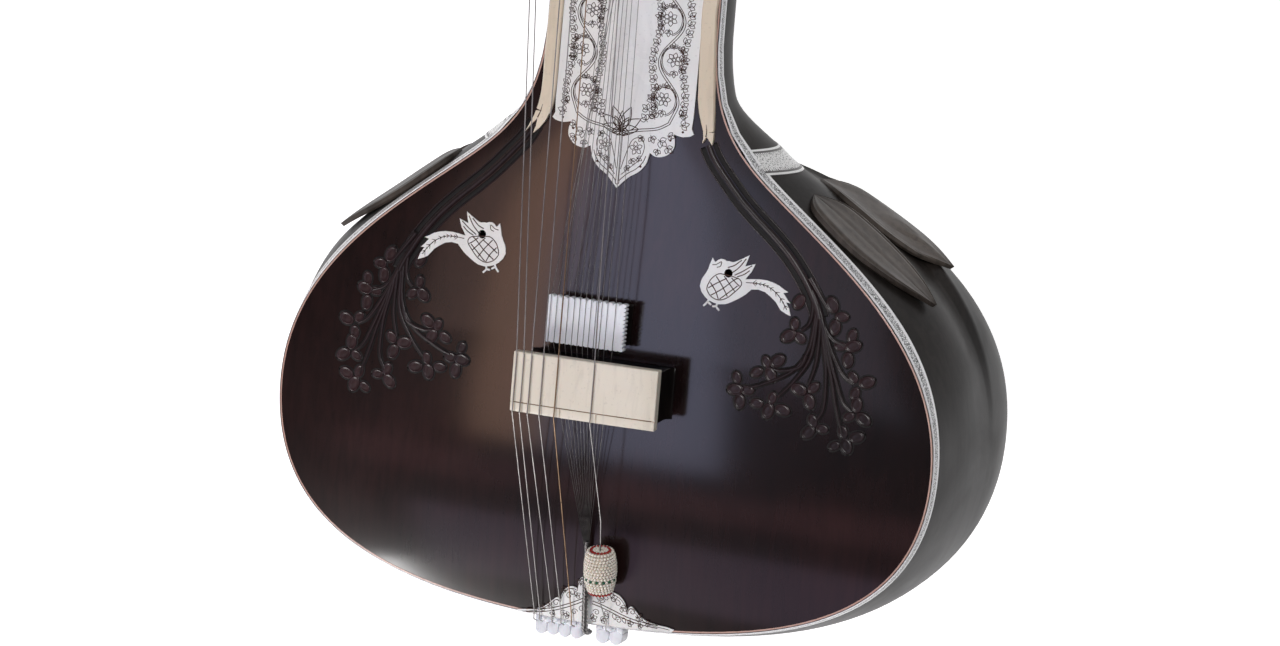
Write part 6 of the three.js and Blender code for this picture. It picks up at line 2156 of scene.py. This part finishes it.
# %% [markdown]
# The nut and the guide behind it are bone. The nut has four notches, the guide four holes, and
# both stand on the camber of the neck. Two round posts on the left hold the side strings up.

# %% Nut, guide and posts
nut_strings = [-11, -18, -25, -31]
nut_half, nut_thick = 33.0, 4.0
for node, name in (("nut", "nut_bone"), ("string_guide", "guide_bone")):
    at, top = float(middle_of(node)[1]), float(span(node)[1][2])
    ring = [
        (nut_half, top - 1.2), (nut_half - 1.2, top), (-nut_half + 1.2, top),
        (-nut_half, top - 1.2)
    ]
    foot = np.linspace(-nut_half, nut_half, 9)
    outline = ring + [(x, float(face_height(x, at)) + 0.1) for x in foot]
    rings = [[(x, at + y, z) for x, z in outline] for y in (-nut_thick / 2, nut_thick / 2)]
    bar = loft_piece(name, rings, smooth=False)
    bevel(bar, 0.5, 3, 40)
    apply_modifiers(bar)
    for x in nut_strings:
        if node == "nut":
            cut(bar, (x - 0.5, at - 4, top - 1.05), (x + 0.5, at + 4, top + 2))
        else:
            bpy.ops.mesh.primitive_cylinder_add(
                vertices=20, radius=1.0, depth=12, location=(x, at, top - 3.0),
                rotation=(math.pi / 2, 0, 0)
            )
            cut_with(bar, bpy.context.object)
    settle(bar, bridge_bone, stands_for=(node,), angle=35)
    print(name, "at", round(at, 1), "top", round(top, 1))

post_profile = [
    (2.9, -0.6), (2.9, 0.7), (2.1, 2.2), (1.75, 8.0), (1.6, 21.0), (1.75, 24.6), (2.2, 26.0),
    (2.2, 27.2), (1.3, 28.6), (1.3, 29.8), (2.0, 30.6), (2.0, 31.6), (0.8, 32.1)
]
post_tall, post_x, post_tip_z = 32.1, -42.2, 31.9


def stand_on(piece, at, direction):
    """Turns a piece that was made along +Z into a direction and moves it to its place."""
    turn = Vector(direction).to_track_quat("Z", "Y").to_matrix().to_4x4()
    piece.data.transform(Matrix.Translation(at) @ turn)


for index, (y, top_x) in enumerate(((304.1, -44.8), (273.7, -46.3)), start=1):
    foot = Vector((post_x, y, binding_top_at(y) - 1.8))
    lean = Vector((top_x, y, post_tip_z)) - foot
    stations = [(r * 0.82, h * lean.length / post_tall) for r, h in post_profile]
    post = turned_mesh(f"side_post_{index}", stations, 20)
    stand_on(post, foot, lean)
    settle(post, white_bone, angle=40)

# %% [markdown]
# Small bone fittings finish the neck: a ring where each sympathetic string enters the face, a
# bushing round each peg's shaft, windings on the front pegs and two cream lines at the head.

# %% Bone rings and bushings
def ring_piece(name, at, direction, inner, outer, height):
    """A flat bone ring lying across a direction."""
    profile = [
        (inner, 0.0), (outer, 0.0), (outer, height * 0.7), (outer - height * 0.4, height),
        (inner + height * 0.3, height), (inner, height * 0.7),
    ]
    ring = turned_mesh(name, profile, 24, joined=True)
    stand_on(ring, at, direction)
    settle(ring, white_bone, angle=40)


peg_depth, side_sink = 25.0, 0.4


def bushing(name, node, inner, outer, face_high, side_high):
    """A ring round a peg where it enters the face, or the left side of the neck."""
    x, y, _ = middle_of(node)
    if is_upright(node):
        ring_piece(name, (x, y, face_height(x, y) - 0.1), (0, 0, 1), inner, outer, face_high)
    else:
        side_x = -neck_side(y, peg_depth / neck_depth)[0] + side_sink
        ring_piece(name, (side_x, y, -peg_depth), (-1, 0, 0), inner, outer, side_high)


for index, peg_at in enumerate(taraf_peg_at, start=1):
    hole = peg_at - entry_lead + 1.2
    place = (entry_x, hole, face_height(entry_x, hole) - 0.1)
    ring_piece(f"entry_ring_{index}", place, (0, 0, 1), 0.75, 1.9, 0.55)
    inner, outer = low_shaft + 0.4, low_shaft + 1.3
    bushing(f"short_bushing_{index}", f"taraf_peg_{index}", inner, outer, 0.7, 0.7)
for index in range(1, 7):
    inner, outer = main_shaft + 0.5, main_shaft + 3.0
    bushing(f"long_bushing_{index}", f"main_peg_{index}", inner, outer, 1.0, 0.85)

# %% Windings on the front pegs
winding_turns, winding_reach, winding_tall = 6, main_shaft + 0.32, 3.6
for index, wire in ((1, steel), (2, bronze)):
    x, y, _ = middle_of(f"main_peg_{index}")
    turn = np.linspace(0, 2 * math.pi * winding_turns, 110)
    low = float(face_height(x, y)) + 7.4
    coil = np.column_stack([
        x + winding_reach * np.cos(turn), y + winding_reach * np.sin(turn),
        low + turn / turn[-1] * winding_tall
    ])
    points, faces = [], []
    tube(points, faces, coil, 0.3, 5)
    winding = mesh_piece(f"peg_winding_{index}", points, faces)
    settle(winding, wire, body=f"main_peg_{index}_body", slot="steel_wire")

# %% Lines at the head
head_lines = []
for y, half_line in ((head_at - 16, 0.5), (head_at - 13.6, 0.25)):
    reach = half_width(y) - 1.6
    line = np.column_stack([np.linspace(-reach, reach, 30), np.full(30, y)])
    head_lines.append((line, half_line))
sweep_on_face("head_trim_lines", head_lines, flat_line, binding_cream, lift=0.02)
print("head ends at", round(head_at, 1))
